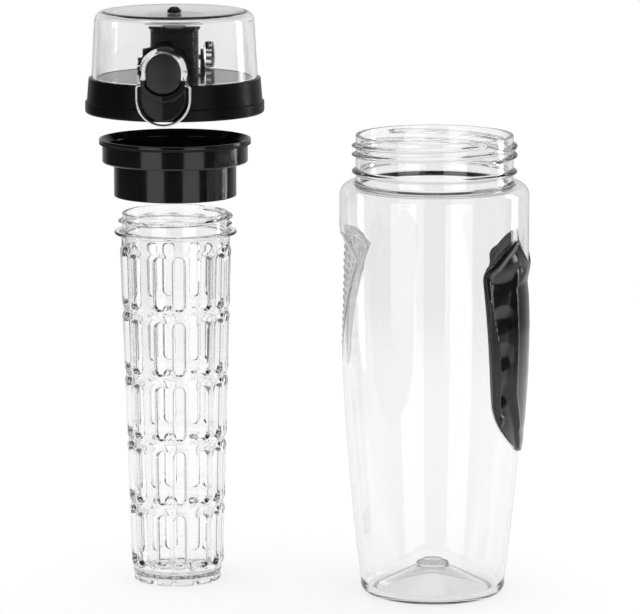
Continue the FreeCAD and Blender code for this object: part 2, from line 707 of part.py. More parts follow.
def finger_dimples():
    """Two columns of round dimples for the finger tips."""
    dimples = []
    for column in (-1, 1):
        for index in range(int(number("dimple_count"))):
            height = f"(dimple_top_z - {index} * dimple_pitch)"
            reach = f"({side_radius(height)} + dimple_radius - dimple_depth + grip_spine / 2)"
            dimple = doc.addObject("Part::Sphere", "dimple")
            bind(dimple, "Radius", "dimple_radius")
            bind(dimple, "Placement.Base.x", f"{reach} * cos(dimple_angle)")
            bind(dimple, "Placement.Base.y", f"{column} * {reach} * sin(dimple_angle)")
            bind(dimple, "Placement.Base.z", height)
            dimples.append(dimple)
    return joined("finger_dimples", dimples)


def make_finger_grip():
    block = boolean("Common", "finger_block", side_prism("finger_prism", finger_outline("-grip_fit"), True),
                    finger_surface())
    pad = boolean("Cut", "finger_pad", block, side_form("finger_seat", "(grip_thickness - grip_fit)"))
    grip = boolean("Cut", "finger_grip", pad, finger_dimples())
    grip.Label = "finger_grip"
    return grip


def make_thumb_grip():
    """Thin pad on the scoop's floor with a row of horizontal ribs."""
    low = side_radius("thumb_end_z")
    steps = [("0", "thumb_end_z - overrun")]

    def surface(height, rise):
        share = f"(({height} - thumb_end_z) / (thumb_top - thumb_end_z))"
        return (f"{low} + (body_radius - thumb_depth - {low}) * {share} + {rise}", height)

    steps.append(surface("(thumb_end_z - overrun)", "0"))
    for index in reversed(range(int(number("rib_count")))):
        middle = f"(rib_top_z - {index} * rib_pitch)"
        steps.append(surface(f"({middle} - rib_width / 2)", "0"))
        steps.append(surface(f"({middle} - rib_width / 4)", "rib_height"))
        steps.append(surface(f"({middle} + rib_width / 4)", "rib_height"))
        steps.append(surface(f"({middle} + rib_width / 2)", "0"))
    steps.append(surface("(thumb_top + overrun)", "0"))
    steps.append(("0", "thumb_top + overrun"))
    block = boolean("Common", "thumb_block", side_prism("thumb_prism", thumb_outline("-grip_fit"), False),
                    turned_form("thumb_surface", steps))
    grip = boolean("Cut", "thumb_grip", block, scoop_form("thumb_seat", "(thumb_thickness - grip_fit)"))
    grip.Label = "thumb_grip"
    return grip


# Infuser rod and adapter ring


def rod_radius(height):
    """Formula of the tapering rod's outside at a height."""
    return (f"(infuser_low_radius + (infuser_top_radius - infuser_low_radius)"
            f" * ({height} - rod_body_low) / (flange_low - rod_body_low))")


def row_top(index):
    return f"(infuser_length - slot_first - {index} * row_pitch)"


def rod_outline():
    foot_outer = "(infuser_low_radius - rod_foot_inset)"
    foot_inner = "(infuser_low_radius - rod_foot_inset - rod_foot_width)"
    steps = [
        ("0", "rod_foot_height"),
        (foot_inner, "rod_foot_height"),
        (foot_inner, "0"),
        (foot_outer, "0"),
        (foot_outer, "rod_foot_height / 2"),
        ("infuser_low_radius", "rod_body_low"),
    ]
    for index in reversed(range(int(number("row_count")))):
        low = f"({row_top(index)} - slot_length - band_margin)"
        top = f"({row_top(index)} + band_margin)"
        steps.append((rod_radius(low), low))
        steps.append((f"{rod_radius(low)} + band_rise", f"{low} + band_rise"))
        steps.append((f"{rod_radius(top)} + band_rise", f"{top} - band_rise"))
        steps.append((rod_radius(top), top))
    steps += [
        ("infuser_top_radius", "flange_low"),
        ("ring_lower_radius", "flange_low"),
        ("ring_lower_radius", "flange_top"),
        ("infuser_neck_radius", "flange_top"),
        ("infuser_neck_radius", "infuser_length"),
        ("infuser_neck_radius - infuser_wall", "infuser_length"),
        ("infuser_neck_radius - infuser_wall", "flange_low"),
        ("infuser_low_radius - infuser_wall", "rod_floor"),
        ("0", "rod_floor"),
    ]
    return steps


STRAINER_RINGS = ((6, "0.45"), (12, "0.8"))


def make_infuser_rod():
    body = new_body("infuser_rod")
    turn_on(body, "rod_wall", rod_outline())
    thread_on(body, "rod_thread", "infuser_neck_radius - thread_sink", "infuser_crest",
              "(flange_top + infuser_thread_start)", "infuser_thread_pitch", "infuser_thread_turns")
    slots = body_sketch(body, "XZ_Plane", "slot_outline")
    for index in range(int(number("row_count"))):
        top = row_top(index)
        low = f"({top} - slot_length)"
        for side in (-1, 1):
            middle = f"({side} * {rod_radius(top)} * sin(pair_angle / 2))"
            draw(slots, [
                (f"{middle} + slot_width / 2", f"{low} + slot_width / 2", middle, low),
                (f"{middle} + slot_width / 2", f"{top} - slot_width / 2"),
                (f"{middle} - slot_width / 2", f"{top} - slot_width / 2", middle, top),
                (f"{middle} - slot_width / 2", f"{low} + slot_width / 2"),
            ])
    pair = cut_on(body, "slot_pair", slots, "infuser_top_radius + band_rise + overrun")
    repeat_round(body, "slot_rows", pair, "pair_count")
    notch = body_sketch(body, "XZ_Plane", "notch_outline")
    draw(notch, [
        ("notch_width / 2", "-overrun"),
        ("notch_width / 2", "notch_height"),
        ("-notch_width / 2", "notch_height"),
        ("-notch_width / 2", "-overrun"),
    ])
    gap = cut_on(body, "foot_notch", notch, "infuser_low_radius + overrun")
    repeat_round(body, "foot_notches", gap, "notch_count")
    holes = body_sketch(body, "XY_Plane", "strainer_outline")
    draw_circle(holes, "0", "0", "strainer_hole")
    for count, reach_share in STRAINER_RINGS:
        for index in range(count):
            angle = FULL_TURN * index / count
            reach = f"(infuser_low_radius - infuser_wall - rod_foot_width) * {reach_share}"
            draw_circle(holes, f"{reach} * cos({angle})", f"{reach} * sin({angle})", "strainer_hole")
    cut_on(body, "strainer_holes", holes, "rod_floor + overrun")
    stand_at(body, "0")
    return body


def make_adapter_ring():
    body = new_body("adapter_ring")
    turn_on(body, "ring_wall_form", [
        ("ring_bore", "0"),
        ("ring_lower_radius", "0"),
        ("ring_lower_radius", "ring_lower"),
        ("ring_upper_radius", "ring_lower"),
        ("ring_upper_radius", "ring_height - lip_height"),
        ("lip_radius", "ring_height - lip_height"),
        ("lip_radius", "ring_height"),
        ("ring_upper_radius - ring_wall", "ring_height"),
        ("ring_upper_radius - ring_wall", "ring_lower + ring_wall"),
        ("ring_bore", "ring_lower + ring_wall"),
    ])
    start = "(infuser_thread_start + infuser_thread_pitch / 2)"
    thread_on(body, "ring_thread", "ring_bore + thread_sink", "infuser_neck_radius + ring_fit", start,
              "infuser_thread_pitch", "infuser_thread_turns")
    stand_at(body, "ring_rest")
    return body


def washer(name, inner, outer, low, top, height):
    body = new_body(name)
    turn_on(body, name + "_form", [(inner, low), (outer, low), (outer, top), (inner, top)])
    stand_at(body, height)
    return body


def make_ring_seal():
    top = "(ring_height - lip_height)"
    return washer("ring_seal", "ring_upper_radius + seal_fit", "lip_radius", f"{top} - seal_thickness", top,
                  "ring_rest")


# Lid


def make_lid_cap():
    body = new_body("lid_cap")
    band = "(skirt_radius + skirt_band_step)"
    turn_on(body, "cap_form", [
        ("0", "0"),
        (band, "0"),
        (band, "skirt_band_height"),
        ("skirt_radius", "skirt_band_height"),
        ("cap_radius", "cap_height"),
        ("0", "cap_height"),
    ])
    for side in (-1, 1):
        start = "ear_inner" if side > 0 else "-ear_outer"
        pad_on(body, f"ear_{'right' if side > 0 else 'left'}", "YZ_Plane", [
            ("cap_cavity", "cap_height"),
            ("cap_cavity", "ear_foot"),
            ("hinge_y + ear_radius", "hinge_z"),
            ("hinge_y - ear_radius", "hinge_z", "hinge_y", "hinge_z + ear_radius"),
            ("hinge_y - ear_radius", "cap_height"),
        ], start, "ear_width")
    turn_on(body, "cap_hollow", [
        ("0", "-overrun"),
        ("cap_cavity", "-overrun"),
        ("cap_cavity", "deck_low"),
        ("0", "deck_low"),
    ], "PartDesign::Groove")
    round_hole(body, "spout_hole", "XY_Plane", "0", "0", "spigot_radius + press_gap", "4 * cap_height")
    round_hole(body, "ear_hole", "YZ_Plane", "hinge_y", "hinge_z", "pin_radius + press_gap", "4 * ear_outer")
    for index, angle in enumerate(("neck_thread_start", f"neck_thread_start + {HALF_TURN}")):
        thread_on(body, f"cap_thread_{index}", "cap_cavity + thread_sink", "neck_radius + cap_fit",
                  "(deck_low - cap_thread_drop)", "neck_thread_lead", "1", angle)
    stand_at(body, "lid_rest")
    return body


def make_lid_gasket():
    outer = "(cap_cavity - cap_fit)"
    return washer("lid_gasket", f"{outer} - gasket_width", outer, "deck_low - gasket_thickness", "deck_low",
                  "lid_rest")


def make_spout():
    body = new_body("spout")
    turn_on(body, "spout_form", [
        ("spout_bore", "deck_low - spigot_length"),
        ("spigot_radius", "deck_low - spigot_length"),
        ("spigot_radius", "cap_height"),
        ("spout_radius", "cap_height"),
        ("spout_radius", "spout_top - spout_lip_height"),
        ("spout_radius + spout_lip", "spout_top - spout_lip_height + spout_lip"),
        ("spout_radius + spout_lip", "spout_top"),
        ("spout_bore", "spout_top"),
    ])
    stand_at(body, "lid_rest")
    return body


DISH_MID_SHARE = "0.75"


def dome_profile(inset, base):
    """Outline of the cover, moved inwards by inset: tapering wall, rounded edge and dished top."""
    wall_top = "(dome_top - dome_corner)"
    corner = f"(dome_corner - {inset})"
    flat = f"(dome_upper - {inset} - {corner})"
    top = f"(dome_top - {inset})"
    return [
        ("0", base),
        (f"dome_radius - {inset}", base),
        (f"dome_upper - {inset}", wall_top),
        round_corner(f"(dome_upper - {inset})", wall_top, corner),
        ("0", f"{top} - dome_dish", f"{flat} / 2", f"{top} - dome_dish * {DISH_MID_SHARE}"),
    ]


def make_dome_cover():
    body = new_body("dome_cover")
    turn_on(body, "dome_form", dome_profile("0", "dome_base"))
    arch_low = "(cheek_top + arch_gap)"
    pad_on(body, "latch_arch", "XZ_Plane", [
        ("arch_outer", arch_low),
        ("arch_outer", "button_round"),
        ("-arch_outer", "button_round", "0", "button_round + arch_outer"),
        ("-arch_outer", arch_low),
        ("-arch_inner", arch_low),
        ("-arch_inner", "button_round"),
        ("arch_inner", "button_round", "0", "button_round + arch_inner"),
        ("arch_inner", arch_low),
    ], "dome_upper - arch_outer", "button_front - arch_setback - dome_upper + arch_outer")
    lug_start = "(sqrt(dome_upper ^ 2 - lug_outer ^ 2) - dome_wall)"
    lug_top = "(hinge_z + lug_height)"
    for side in (-1, 1):
        start = "lug_inner" if side > 0 else "-lug_outer"
        pad_on(body, f"lug_{'right' if side > 0 else 'left'}", "YZ_Plane", [
            (lug_start, "dome_base + dome_gap"),
            ("hinge_y", "hinge_z - lug_radius"),
            ("hinge_y", "hinge_z + lug_radius", "hinge_y + lug_radius", "hinge_z"),
            (f"{lug_start} + dome_wall + lug_top_width", lug_top),
            (lug_start, lug_top),
        ], start, "lug_width")
    turn_on(body, "dome_hollow", dome_profile("dome_wall", "dome_base - overrun"), "PartDesign::Groove")
    round_hole(body, "stem_hole", "XY_Plane", "0", "0", "dome_hole", "4 * dome_top")
    round_hole(body, "lug_hole", "YZ_Plane", "hinge_y", "hinge_z", "pin_radius + pin_fit", "4 * lug_outer")
    stand_at(body, "lid_rest")
    return body


def make_spout_plug():
    body = new_body("spout_plug")
    disc_low = "(plug_disc_top - plug_disc_thickness)"
    turn_on(body, "plug_form", [
        ("0", "spout_top - plug_depth"),
        ("plug_tip_radius", "spout_top - plug_depth"),
        ("plug_top_radius", disc_low),
        ("plug_disc_radius", disc_low),
        ("plug_disc_radius", "plug_disc_top"),
        ("stem_radius", "plug_disc_top"),
        ("stem_radius", "plug_cap_low"),
        ("0", "plug_cap_low"),
    ])
    stand_at(body, "lid_rest")
    return body


def make_plug_cap():
    body = new_body("plug_cap")
    edge = "(plug_cap_low + plug_cap_height / 2)"
    turn_on(body, "plug_cap_form", [
        ("0", "plug_cap_low"),
        ("plug_cap_radius", "plug_cap_low"),
        ("plug_cap_radius", edge),
        round_corner("plug_cap_radius", edge, "(plug_cap_height / 2)"),
        ("0", "plug_cap_low + plug_cap_height"),
    ])
    stand_at(body, "lid_rest")
    return body


# Latch


def button_steps(grow):
    """Face of the button: a half circle above straight sides and a rounded lower edge."""
    half = f"(button_half + {grow})"
    low = f"(button_bottom - {grow})"
    return [
        (half, f"{low} + button_sag", "0", low),
        (half, "button_round"),
        (f"-{half}", "button_round", "0", f"button_round + {half}"),
        (f"-{half}", f"{low} + button_sag"),
    ]


def make_latch_housing():
    body = new_body("latch_housing")
    pad_on(body, "shield", "XZ_Plane", [
        ("shield_half", "cheek_top"),
        ("-shield_half", "cheek_top"),
        ("-shield_half", "shield_low"),
        ("shield_half", "shield_low", "0", "shield_low - shield_half"),
    ], "plate_back", "shield_front - plate_back")
    pad_on(body, "back_plate", "XZ_Plane", button_steps("0"), "plate_back", "plate_thickness")
    low = "(button_bottom - latch_fit)"
    pad_on(body, "lip", "XZ_Plane", [
        ("shield_half", f"{low} + button_sag"),
        ("-shield_half", f"{low} + button_sag"),
        ("-shield_half", f"{low} + button_sag - lip_width"),
        ("0", f"{low} - lip_point"),
        ("shield_half", f"{low} + button_sag - lip_width"),
    ], "plate_front", "button_front + lip_proud - plate_front")
    room = body_sketch(body, "XZ_Plane", "button_room_outline", shift="plate_front")
    draw(room, button_steps("latch_fit"))
    cut_on(body, "button_room", room, "button_front + overrun - plate_front")
    turn_on(body, "skirt_seat", [
        ("0", "-cap_height"),
        ("skirt_radius + skirt_band_step + housing_fit", "-cap_height"),
        ("skirt_radius + skirt_band_step + housing_fit", "skirt_band_height + housing_fit"),
        ("skirt_radius + housing_fit", "skirt_band_height + housing_fit"),
        ("cap_radius + housing_fit", "cap_height + housing_fit"),
        ("0", "cap_height + housing_fit"),
    ], "PartDesign::Groove")
    round_hole(body, "wire_holes", "YZ_Plane", "-wire_y", "wire_pivot_z", "wire_radius + wire_fit",
               "4 * shield_half")
    stand_at(body, "lid_rest")
    return body


def make_push_button():
    body = new_body("push_button")
    pad_on(body, "button_form", "XZ_Plane", button_steps("0"), "button_back", "button_depth")
    hollow = body_sketch(body, "XZ_Plane", "button_hollow_outline", shift="button_back")
    draw(hollow, button_steps("-button_wall"))
    cut_on(body, "button_hollow", hollow, "button_depth - button_wall")
    stand_at(body, "lid_rest")
    return body


def make_wire_lock():
    """One bent wire: a pivot pin, a straight side, a half circle, the other side and its pin."""
    body = new_body("wire_lock")
    inner = "(cheek_inner + cheek_width / 4)"
    bend_in = f"wire_half - wire_bend * (1 - {HALF_ARC_SHARE})"
    bend_down = f"wire_pivot_z - wire_bend * (1 - {HALF_ARC_SHARE})"
    leg_low = "(wire_pivot_z - wire_leg)"
    path = body_sketch(body, "XZ_Plane", "wire_path", shift="wire_y")
    draw(path, [
        (f"-{inner}", "wire_pivot_z"),
        ("-(wire_half - wire_bend)", "wire_pivot_z"),
        ("-wire_half", "wire_pivot_z - wire_bend", f"-({bend_in})", bend_down),
        ("-wire_half", leg_low),
        ("wire_half", leg_low, "0", f"{leg_low} - wire_half"),
        ("wire_half", "wire_pivot_z - wire_bend"),
        ("wire_half - wire_bend", "wire_pivot_z", bend_in, bend_down),
        (inner, "wire_pivot_z"),
    ], closed=False)
    section = body_sketch(body, "YZ_Plane", "wire_section", shift=f"-{inner}")
    draw_circle(section, "-wire_y", "wire_pivot_z", "wire_radius")
    doc.recompute()
    pipe = body.newObject("PartDesign::AdditivePipe", "wire_pipe")
    pipe.Profile = section
    pipe.Spine = (path, [f"Edge{index + 1}" for index in range(len(path.Shape.Edges))])
    stand_at(body, "lid_rest")
    return body


def make_hinge_pin():
    body = new_body("hinge_pin")
    section = body_sketch(body, "YZ_Plane", "pin_outline", shift="-lug_outer")
    draw_circle(section, "hinge_y", "hinge_z", "pin_radius")
    feature = body.newObject("PartDesign::Pad", "pin_form")
    feature.Profile = section
    bind(feature, "Length", "2 * lug_outer")
    stand_at(body, "lid_rest")
    return body


# Springs: each is one tube along arcs that follow its path smoothly


SAMPLES_PER_ARC = 8
QUARTER = math.pi / 2


def arc_middle(start, direction, end):
    """Middle of the arc that leaves start along a direction and reaches end, or nothing for a line."""
    chord = end - start
    along = chord.dot(direction) / chord.Length
    across = direction - chord * (along / chord.Length)
    if across.Length < TINY:
        return None
    sag = chord.Length / 2 * math.tan(math.acos(min(along, 1)) / 2)
    return start + chord / 2 + across.normalize() * sag


def curve_over(start, middle, end):
    return Part.Arc(start, middle, end) if middle else Part.LineSegment(start, end)


def two_arcs(start, leaving, end, arriving):
    """Two arcs from start to end that keep both directions."""
    chord = end - start
    spread = 2 * (1 - leaving.dot(arriving))
    if spread < TINY:
        return [Part.LineSegment(start, end)]
    lean = chord.dot(leaving + arriving)
    reach = (math.sqrt(lean ** 2 + spread * chord.dot(chord)) - lean) / spread
    joint = (start + leaving * reach + end - arriving * reach) / 2
    first = curve_over(start, arc_middle(start, leaving, joint), joint)
    second = curve_over(joint, arc_middle(end, arriving * -1, joint), end)
    return [first, second]


def tube_along(name, spots, radius):
    """Tube over spots of (point, direction); prints the least gap between parts of it that don't adjoin."""
    curves = []
    for (start, leaving), (end, arriving) in zip(spots, spots[1:]):
        curves += two_arcs(start, leaving, end, arriving)
    path = Part.Wire([curve.toShape() for curve in curves])
    ring = Part.Wire(Part.Circle(spots[0][0], spots[0][1], radius).toShape())
    tube = path.makePipeShell([ring], True, False)
    points = [point for edge in path.OrderedEdges for point in edge.discretize(SAMPLES_PER_ARC)[:-1]]
    walked = [0]
    for first, second in zip(points, points[1:]):
        walked.append(walked[-1] + first.distanceToPoint(second))
    far = math.pi * 2 * radius
    gaps = [
        points[first].distanceToPoint(points[second]) - 2 * radius
        for first in range(len(points))
        for second in range(first)
        if walked[first] - walked[second] > far
    ]
    print(f"{name}: least gap to itself {min(gaps):.2f} mm")
    feature = doc.addObject("Part::Feature", name)
    feature.Label = name
    feature.Shape = tube
    place = Vector(number("stack_x"), number("stack_y"), number("lid_rest"))
    feature.Placement = FreeCAD.Placement(place, FreeCAD.Rotation())
    return feature


def make_button_spring():
    """Coil along Y between the back plate and the button."""
    wire = number("button_wire")
    coil = number("button_coil")
    height = number("button_round")
    gap = number("seat_gap")
    back = number("plate_front") + wire + gap
    front = number("button_front - button_wall") - wire - gap
    quarters = 4 * int(number("button_turns"))
    rise = (front - back) / quarters
    slope = rise / QUARTER
    spots = []
    for index in range(quarters + 1):
        angle = QUARTER * index
        point = Vector(coil * math.cos(angle), -back - rise * index, height + coil * math.sin(angle))
        along = Vector(-coil * math.sin(angle), -slope, coil * math.cos(angle))
        spots.append((point, along.normalize()))
    return tube_along("button_spring", spots, wire)


def make_hinge_spring():
    """Coil along the hinge pin: one leg lies down the skirt and the other reaches the cover."""
    wire = number("hinge_wire")
    coil = number("hinge_coil")
    centre_y = number("hinge_y")
    centre_z = number("hinge_z")
    quarters = 4 * int(number("hinge_turns")) + 3
    rise = number("hinge_pitch") / 4
    first_x = -rise * quarters / 2
    skirt_spot = Vector(first_x, centre_y - coil, centre_z - number("hinge_leg"))
    spots = [(skirt_spot, UP)]
    for index in range(quarters + 1):
        angle = math.pi - QUARTER * index
        point = Vector(first_x + rise * index, centre_y + coil * math.cos(angle),
                       centre_z + coil * math.sin(angle))
        lean = rise / QUARTER if 0 < index < quarters else 0
        along = Vector(lean, coil * math.sin(angle), -coil * math.cos(angle))
        spots.append((point, along.normalize()))
    cover_y = number("dome_radius") + wire
    spots.append((Vector(-first_x, cover_y, centre_z - coil), Vector(0, -1, 0)))
    return tube_along("hinge_spring", spots, wire)


MAKERS = (
    make_bottle, make_finger_grip, make_thumb_grip,
    make_infuser_rod, make_adapter_ring, make_ring_seal,
    make_lid_cap, make_lid_gasket, make_spout, make_latch_housing, make_push_button, make_button_spring,
    make_wire_lock, make_dome_cover, make_spout_plug, make_plug_cap, make_hinge_pin, make_hinge_spring,
)

pieces = [make() for make in MAKERS]
doc.recompute()

for item in doc.Objects:
    if "Invalid" in item.State or "Error" in item.State:
        raise RuntimeError(f"{item.Name} failed: {item.State}")
for piece in pieces:
    if piece.Shape.isNull() or not piece.Shape.isValid():
        raise RuntimeError(f"{piece.Label} has no valid shape")

os.makedirs("parts", exist_ok=True)
for piece in pieces:
    piece.Shape.exportStep(f"parts/{piece.Label}.step")
    print(f"{piece.Label}: {len(piece.Shape.Solids)} solid, {piece.Shape.Volume:.0f} mm3")
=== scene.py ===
import math

import bmesh
import bpy
import numpy as np
from bpy.props import FloatProperty, FloatVectorProperty, IntProperty, PointerProperty
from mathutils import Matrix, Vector
from mathutils.geometry import delaunay_2d_cdt


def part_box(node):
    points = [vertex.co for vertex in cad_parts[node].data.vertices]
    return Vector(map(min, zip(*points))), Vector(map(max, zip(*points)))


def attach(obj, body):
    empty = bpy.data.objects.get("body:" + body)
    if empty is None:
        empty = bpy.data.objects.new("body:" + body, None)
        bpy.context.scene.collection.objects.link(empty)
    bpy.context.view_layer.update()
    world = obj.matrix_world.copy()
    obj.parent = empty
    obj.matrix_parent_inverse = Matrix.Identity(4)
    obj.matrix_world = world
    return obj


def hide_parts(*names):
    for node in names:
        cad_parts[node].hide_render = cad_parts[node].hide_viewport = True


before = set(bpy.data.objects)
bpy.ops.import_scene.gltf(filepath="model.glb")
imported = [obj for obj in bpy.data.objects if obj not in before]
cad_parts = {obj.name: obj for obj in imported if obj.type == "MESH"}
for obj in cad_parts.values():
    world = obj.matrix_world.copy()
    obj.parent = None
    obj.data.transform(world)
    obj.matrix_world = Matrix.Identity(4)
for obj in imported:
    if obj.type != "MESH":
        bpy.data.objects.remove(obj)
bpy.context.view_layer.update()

bl_info = {
    "name": "Fruit infuser bottle",
    "version": (1, 0, 0),
    "blender": (4, 5, 0),
    "location": "View3D > Sidebar > Infuser",
    "description": "Builds the finished bottle, rod, ring and lid around the packed frame",
    "category": "Object",
}

# Lengths are millimetres until a mesh is made, which is in metres. The stage's places are metres too.
MM = 0.001
TAU = 2 * math.pi
WHITE = (1, 1, 1, 1)


def spot(node):
    """Lowest and highest corner of a frame node in millimetres."""
    low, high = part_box(node)
    return np.array(low) / MM, np.array(high) / MM


ROD_LOW, ROD_HIGH = spot("infuser_rod")
STACK = tuple((ROD_LOW + ROD_HIGH)[:2] / 2)
RING_Z = spot("adapter_ring")[0][2]
LID_Z = spot("lid_cap")[0][2]
RIM_Z = spot("bottle_body")[1][2]


# Settings


def colour(name, text, value):
    return FloatVectorProperty(name=name, description=text, default=value, size=3, min=0, max=1,
                               subtype="COLOR")


def length(name, text, value):
    return FloatProperty(name=name, description=text, default=value * MM, unit="LENGTH", subtype="DISTANCE")


def share(name, text, value):
    return FloatProperty(name=name, description=text, default=value, min=0, max=1, subtype="FACTOR")


def power(name, text, value):
    return FloatProperty(name=name, description=text, default=value, min=0, subtype="POWER")


class InfuserFinishes(bpy.types.PropertyGroup):
    """Colours and finishes of the moulded pieces"""
    gloss_black: colour("Gloss black", "Adapter ring and finger pad", (0.005, 0.005, 0.0055))
    cap_black: colour("Cap black", "Skirt, deck, latch and ring seal", (0.004, 0.004, 0.0044))
    button_black: colour("Button black", "Matt face of the push button", (0.010, 0.010, 0.011))
    spout_black: colour("Spout black", "Bluish black of the spout", (0.003, 0.0035, 0.007))
    # Painted shade: the bumps are the same milky plastic as the pad; this darker grey stands in for the shade
    # and refraction they show.
    bump_grey: colour("Bump grey", "Bumps of the thumb pad", (0.58, 0.585, 0.585))
    milky: colour("Milky", "Soft plug and thumb pad", (0.96, 0.965, 0.965))
    seal_grey: colour("Seal grey", "Hidden gasket of the cap", (0.30, 0.30, 0.31))
    steel: colour("Steel", "Wire, pin and springs", (0.80, 0.80, 0.80))
    clear_tint: colour("Clear tint", "What is left of white in thick clear plastic", (0.90, 0.905, 0.905))
    clear_depth: FloatProperty(name="Clear depth", description="Absorption of the clear plastic per metre",
                               default=150, min=0)
    gloss: share("Gloss roughness", "Roughness of the polished ring", 0.13)
    pad_gloss: share("Pad roughness", "Roughness of the finger pad", 0.16)


class InfuserGrips(bpy.types.PropertyGroup):
    """Sizes of the two grips"""
    rim_rise: length("Rim rise", "Raised rim around the finger pad", 0.45)
    channel_depth: length("Channel depth", "Channel between the rim and the middle", 0.75)
    dimple_depth: length("Dimple depth", "Hollow for each finger tip below its channel", 1.2)
    bump_width: length("Bump width", "Width of a thumb pad bump", 4.2)
    bump_height: length("Bump height", "Height of a thumb pad bump", 1.9)
    bump_rise: length("Bump rise", "How far a bump stands out", 0.55)
    bump_pitch: length("Bump pitch", "Step from one row of bumps to the next", 3.4)
    bump_rows: IntProperty(name="Bump rows", description="Rows of bumps on the thumb pad", default=15, min=1)


class InfuserStage(bpy.types.PropertyGroup):
    """Camera, lamps and floor"""
    distance: length("Camera distance", "Camera in front of the bottle's axis", 1800)
    aside: length("Camera aside", "Camera to the right of the bottle's axis", 105)
    height: length("Camera height", "Camera above the floor", 440)
    aim_height: length("Aim height", "Height that the camera looks at", 131)
    focal: FloatProperty(name="Focal length", description="Focal length of the camera", default=226,
                         subtype="DISTANCE_CAMERA")
    window_light: power("Window light", "Power of each tall window lamp", 3.8)
    edge_light: power("Edge light", "Power of the narrow lamp beside the finger pad", 2.4)
    top_light: power("Top light", "Power of the overhead lamp", 2.4)
    fill: share("Fill", "Even light from all around", 0.95)


# Outlines

SUPPORT, SUPPORT_SHARE, CUT_SHARE = 0.12, 0.04, 0.45


def arc3(first, middle, last, steps):
    """Points on the circle through three points, both ends included."""
    (ax, ay), (bx, by), (cx, cy) = first, middle, last
    twice = 2 * (ax * (by - cy) + bx * (cy - ay) + cx * (ay - by))
    squares = [ax * ax + ay * ay, bx * bx + by * by, cx * cx + cy * cy]
    ux = (squares[0] * (by - cy) + squares[1] * (cy - ay) + squares[2] * (ay - by)) / twice
    uy = (squares[0] * (cx - bx) + squares[1] * (ax - cx) + squares[2] * (bx - ax)) / twice
    radius = math.hypot(ax - ux, ay - uy)
    angles = [math.atan2(y - uy, x - ux) for x, y in (first, middle, last)]
    sweep = (angles[2] - angles[0]) % TAU
    if (angles[1] - angles[0]) % TAU > sweep:
        sweep -= TAU
    turns = [angles[0] + sweep * i / steps for i in range(steps + 1)]
    return [(ux + radius * math.cos(t), uy + radius * math.sin(t)) for t in turns]


def swing(centre, radius, first, last, steps):
    """Points on a circle from one angle to another in degrees, both ends included."""
    turns = np.radians(np.linspace(first, last, steps + 1))
    return [(centre[0] + radius * math.cos(t), centre[1] + radius * math.sin(t)) for t in turns]


def soften(corners, closed=False, steps=4):
    """Round the corners (x, y, radius) of an outline, with a close row of support beside each round."""
    points = []
    count = len(corners)
    for i, corner in enumerate(corners):
        here = np.array(corner[:2], float)
        if corner[2] == 0 or (not closed and i in (0, count - 1)):
            points.append(tuple(here))
            continue
        back = np.array(corners[i - 1][:2], float) - here
        ahead = np.array(corners[(i + 1) % count][:2], float) - here
        size_back, size_ahead = np.linalg.norm(back), np.linalg.norm(ahead)
        back, ahead = back / size_back, ahead / size_ahead
        half = math.acos(max(-1, min(1, back @ ahead))) / 2
        cut = min(corner[2] / math.tan(half), CUT_SHARE * size_back, CUT_SHARE * size_ahead)
        radius = cut * math.tan(half)
        centre = here + (back + ahead) / np.linalg.norm(back + ahead) * radius / math.sin(half)
        start, end = here + back * cut, here + ahead * cut
        turn = math.pi - 2 * half
        points.append(tuple(start + back * min(SUPPORT, SUPPORT_SHARE * size_back)))
        for k in range(steps + 1):
            t = k / steps
            mix = math.sin((1 - t) * turn) * (start - centre) + math.sin(t * turn) * (end - centre)
            points.append(tuple(centre + mix / math.sin(turn)))
        points.append(tuple(end + ahead * min(SUPPORT, SUPPORT_SHARE * size_ahead)))
    return points


def dense(points, step):
    """The same polyline with no stretch longer than a step."""
    result = [points[0]]
    for first, last in zip(points, points[1:]):
        parts = max(1, math.ceil(math.dist(first, last) / step))
        result += [tuple(a + (b - a) * i / parts for a, b in zip(first, last)) for i in range(1, parts + 1)]
    return result


def smooth(value, low, high):
    """0 below low, 1 above high, and an even rise between."""
    t = np.clip((np.asarray(value, float) - low) / (high - low), 0, 1)
    return t * t * (3 - 2 * t)


def depth_inside(y, z, outline):
    """How deep points lie inside a closed outline; negative outside."""
    y, z = np.asarray(y, float), np.asarray(z, float)
    near = np.full(y.shape, np.inf)
    inside = np.zeros(y.shape, bool)
    for (ay, az), (by, bz) in zip(outline, outline[1:] + outline[:1]):
        dy, dz = by - ay, bz - az
        size = dy * dy + dz * dz
        if size == 0:
            continue
        t = np.clip(((y - ay) * dy + (z - az) * dz) / size, 0, 1)
        near = np.minimum(near, np.hypot(y - ay - t * dy, z - az - t * dz))
        if dz != 0:
            crosses = (az > z) != (bz > z)
            inside ^= crosses & (y < ay + (z - az) / dz * dy)
    return np.where(inside, near, -near)


def mirrored(right, top_mid, end_mid, gap=1.2, steps=24):
    """Closed outline from the points of its right half, with arcs over the top and the lower end."""
    (top_y, top_z), (end_y, end_z) = right[0], right[-1]
    top = arc3((-top_y, top_z), (0, top_mid), (top_y, top_z), steps)
    end = arc3((end_y, end_z), (0, end_mid), (-end_y, end_z), steps)
    left = [(-y, z) for y, z in reversed(right)]
    return dense(top[:-1] + right + end[1:-1] + left[:-1] + [top[0]], gap)[:-1]


def even(count):
    """Angles of equal steps around a circle."""
    return np.arange(count) * TAU / count


# Meshes

SAME = 1e-6
MADE_WELD, MADE_THIN = 4e-7, 1e-8
COPY_WELD, COPY_THIN = 1e-6, 1e-7
COPY_SHARP, EDGE_SHARP, ALL_SMOOTH = 35, 50, 180


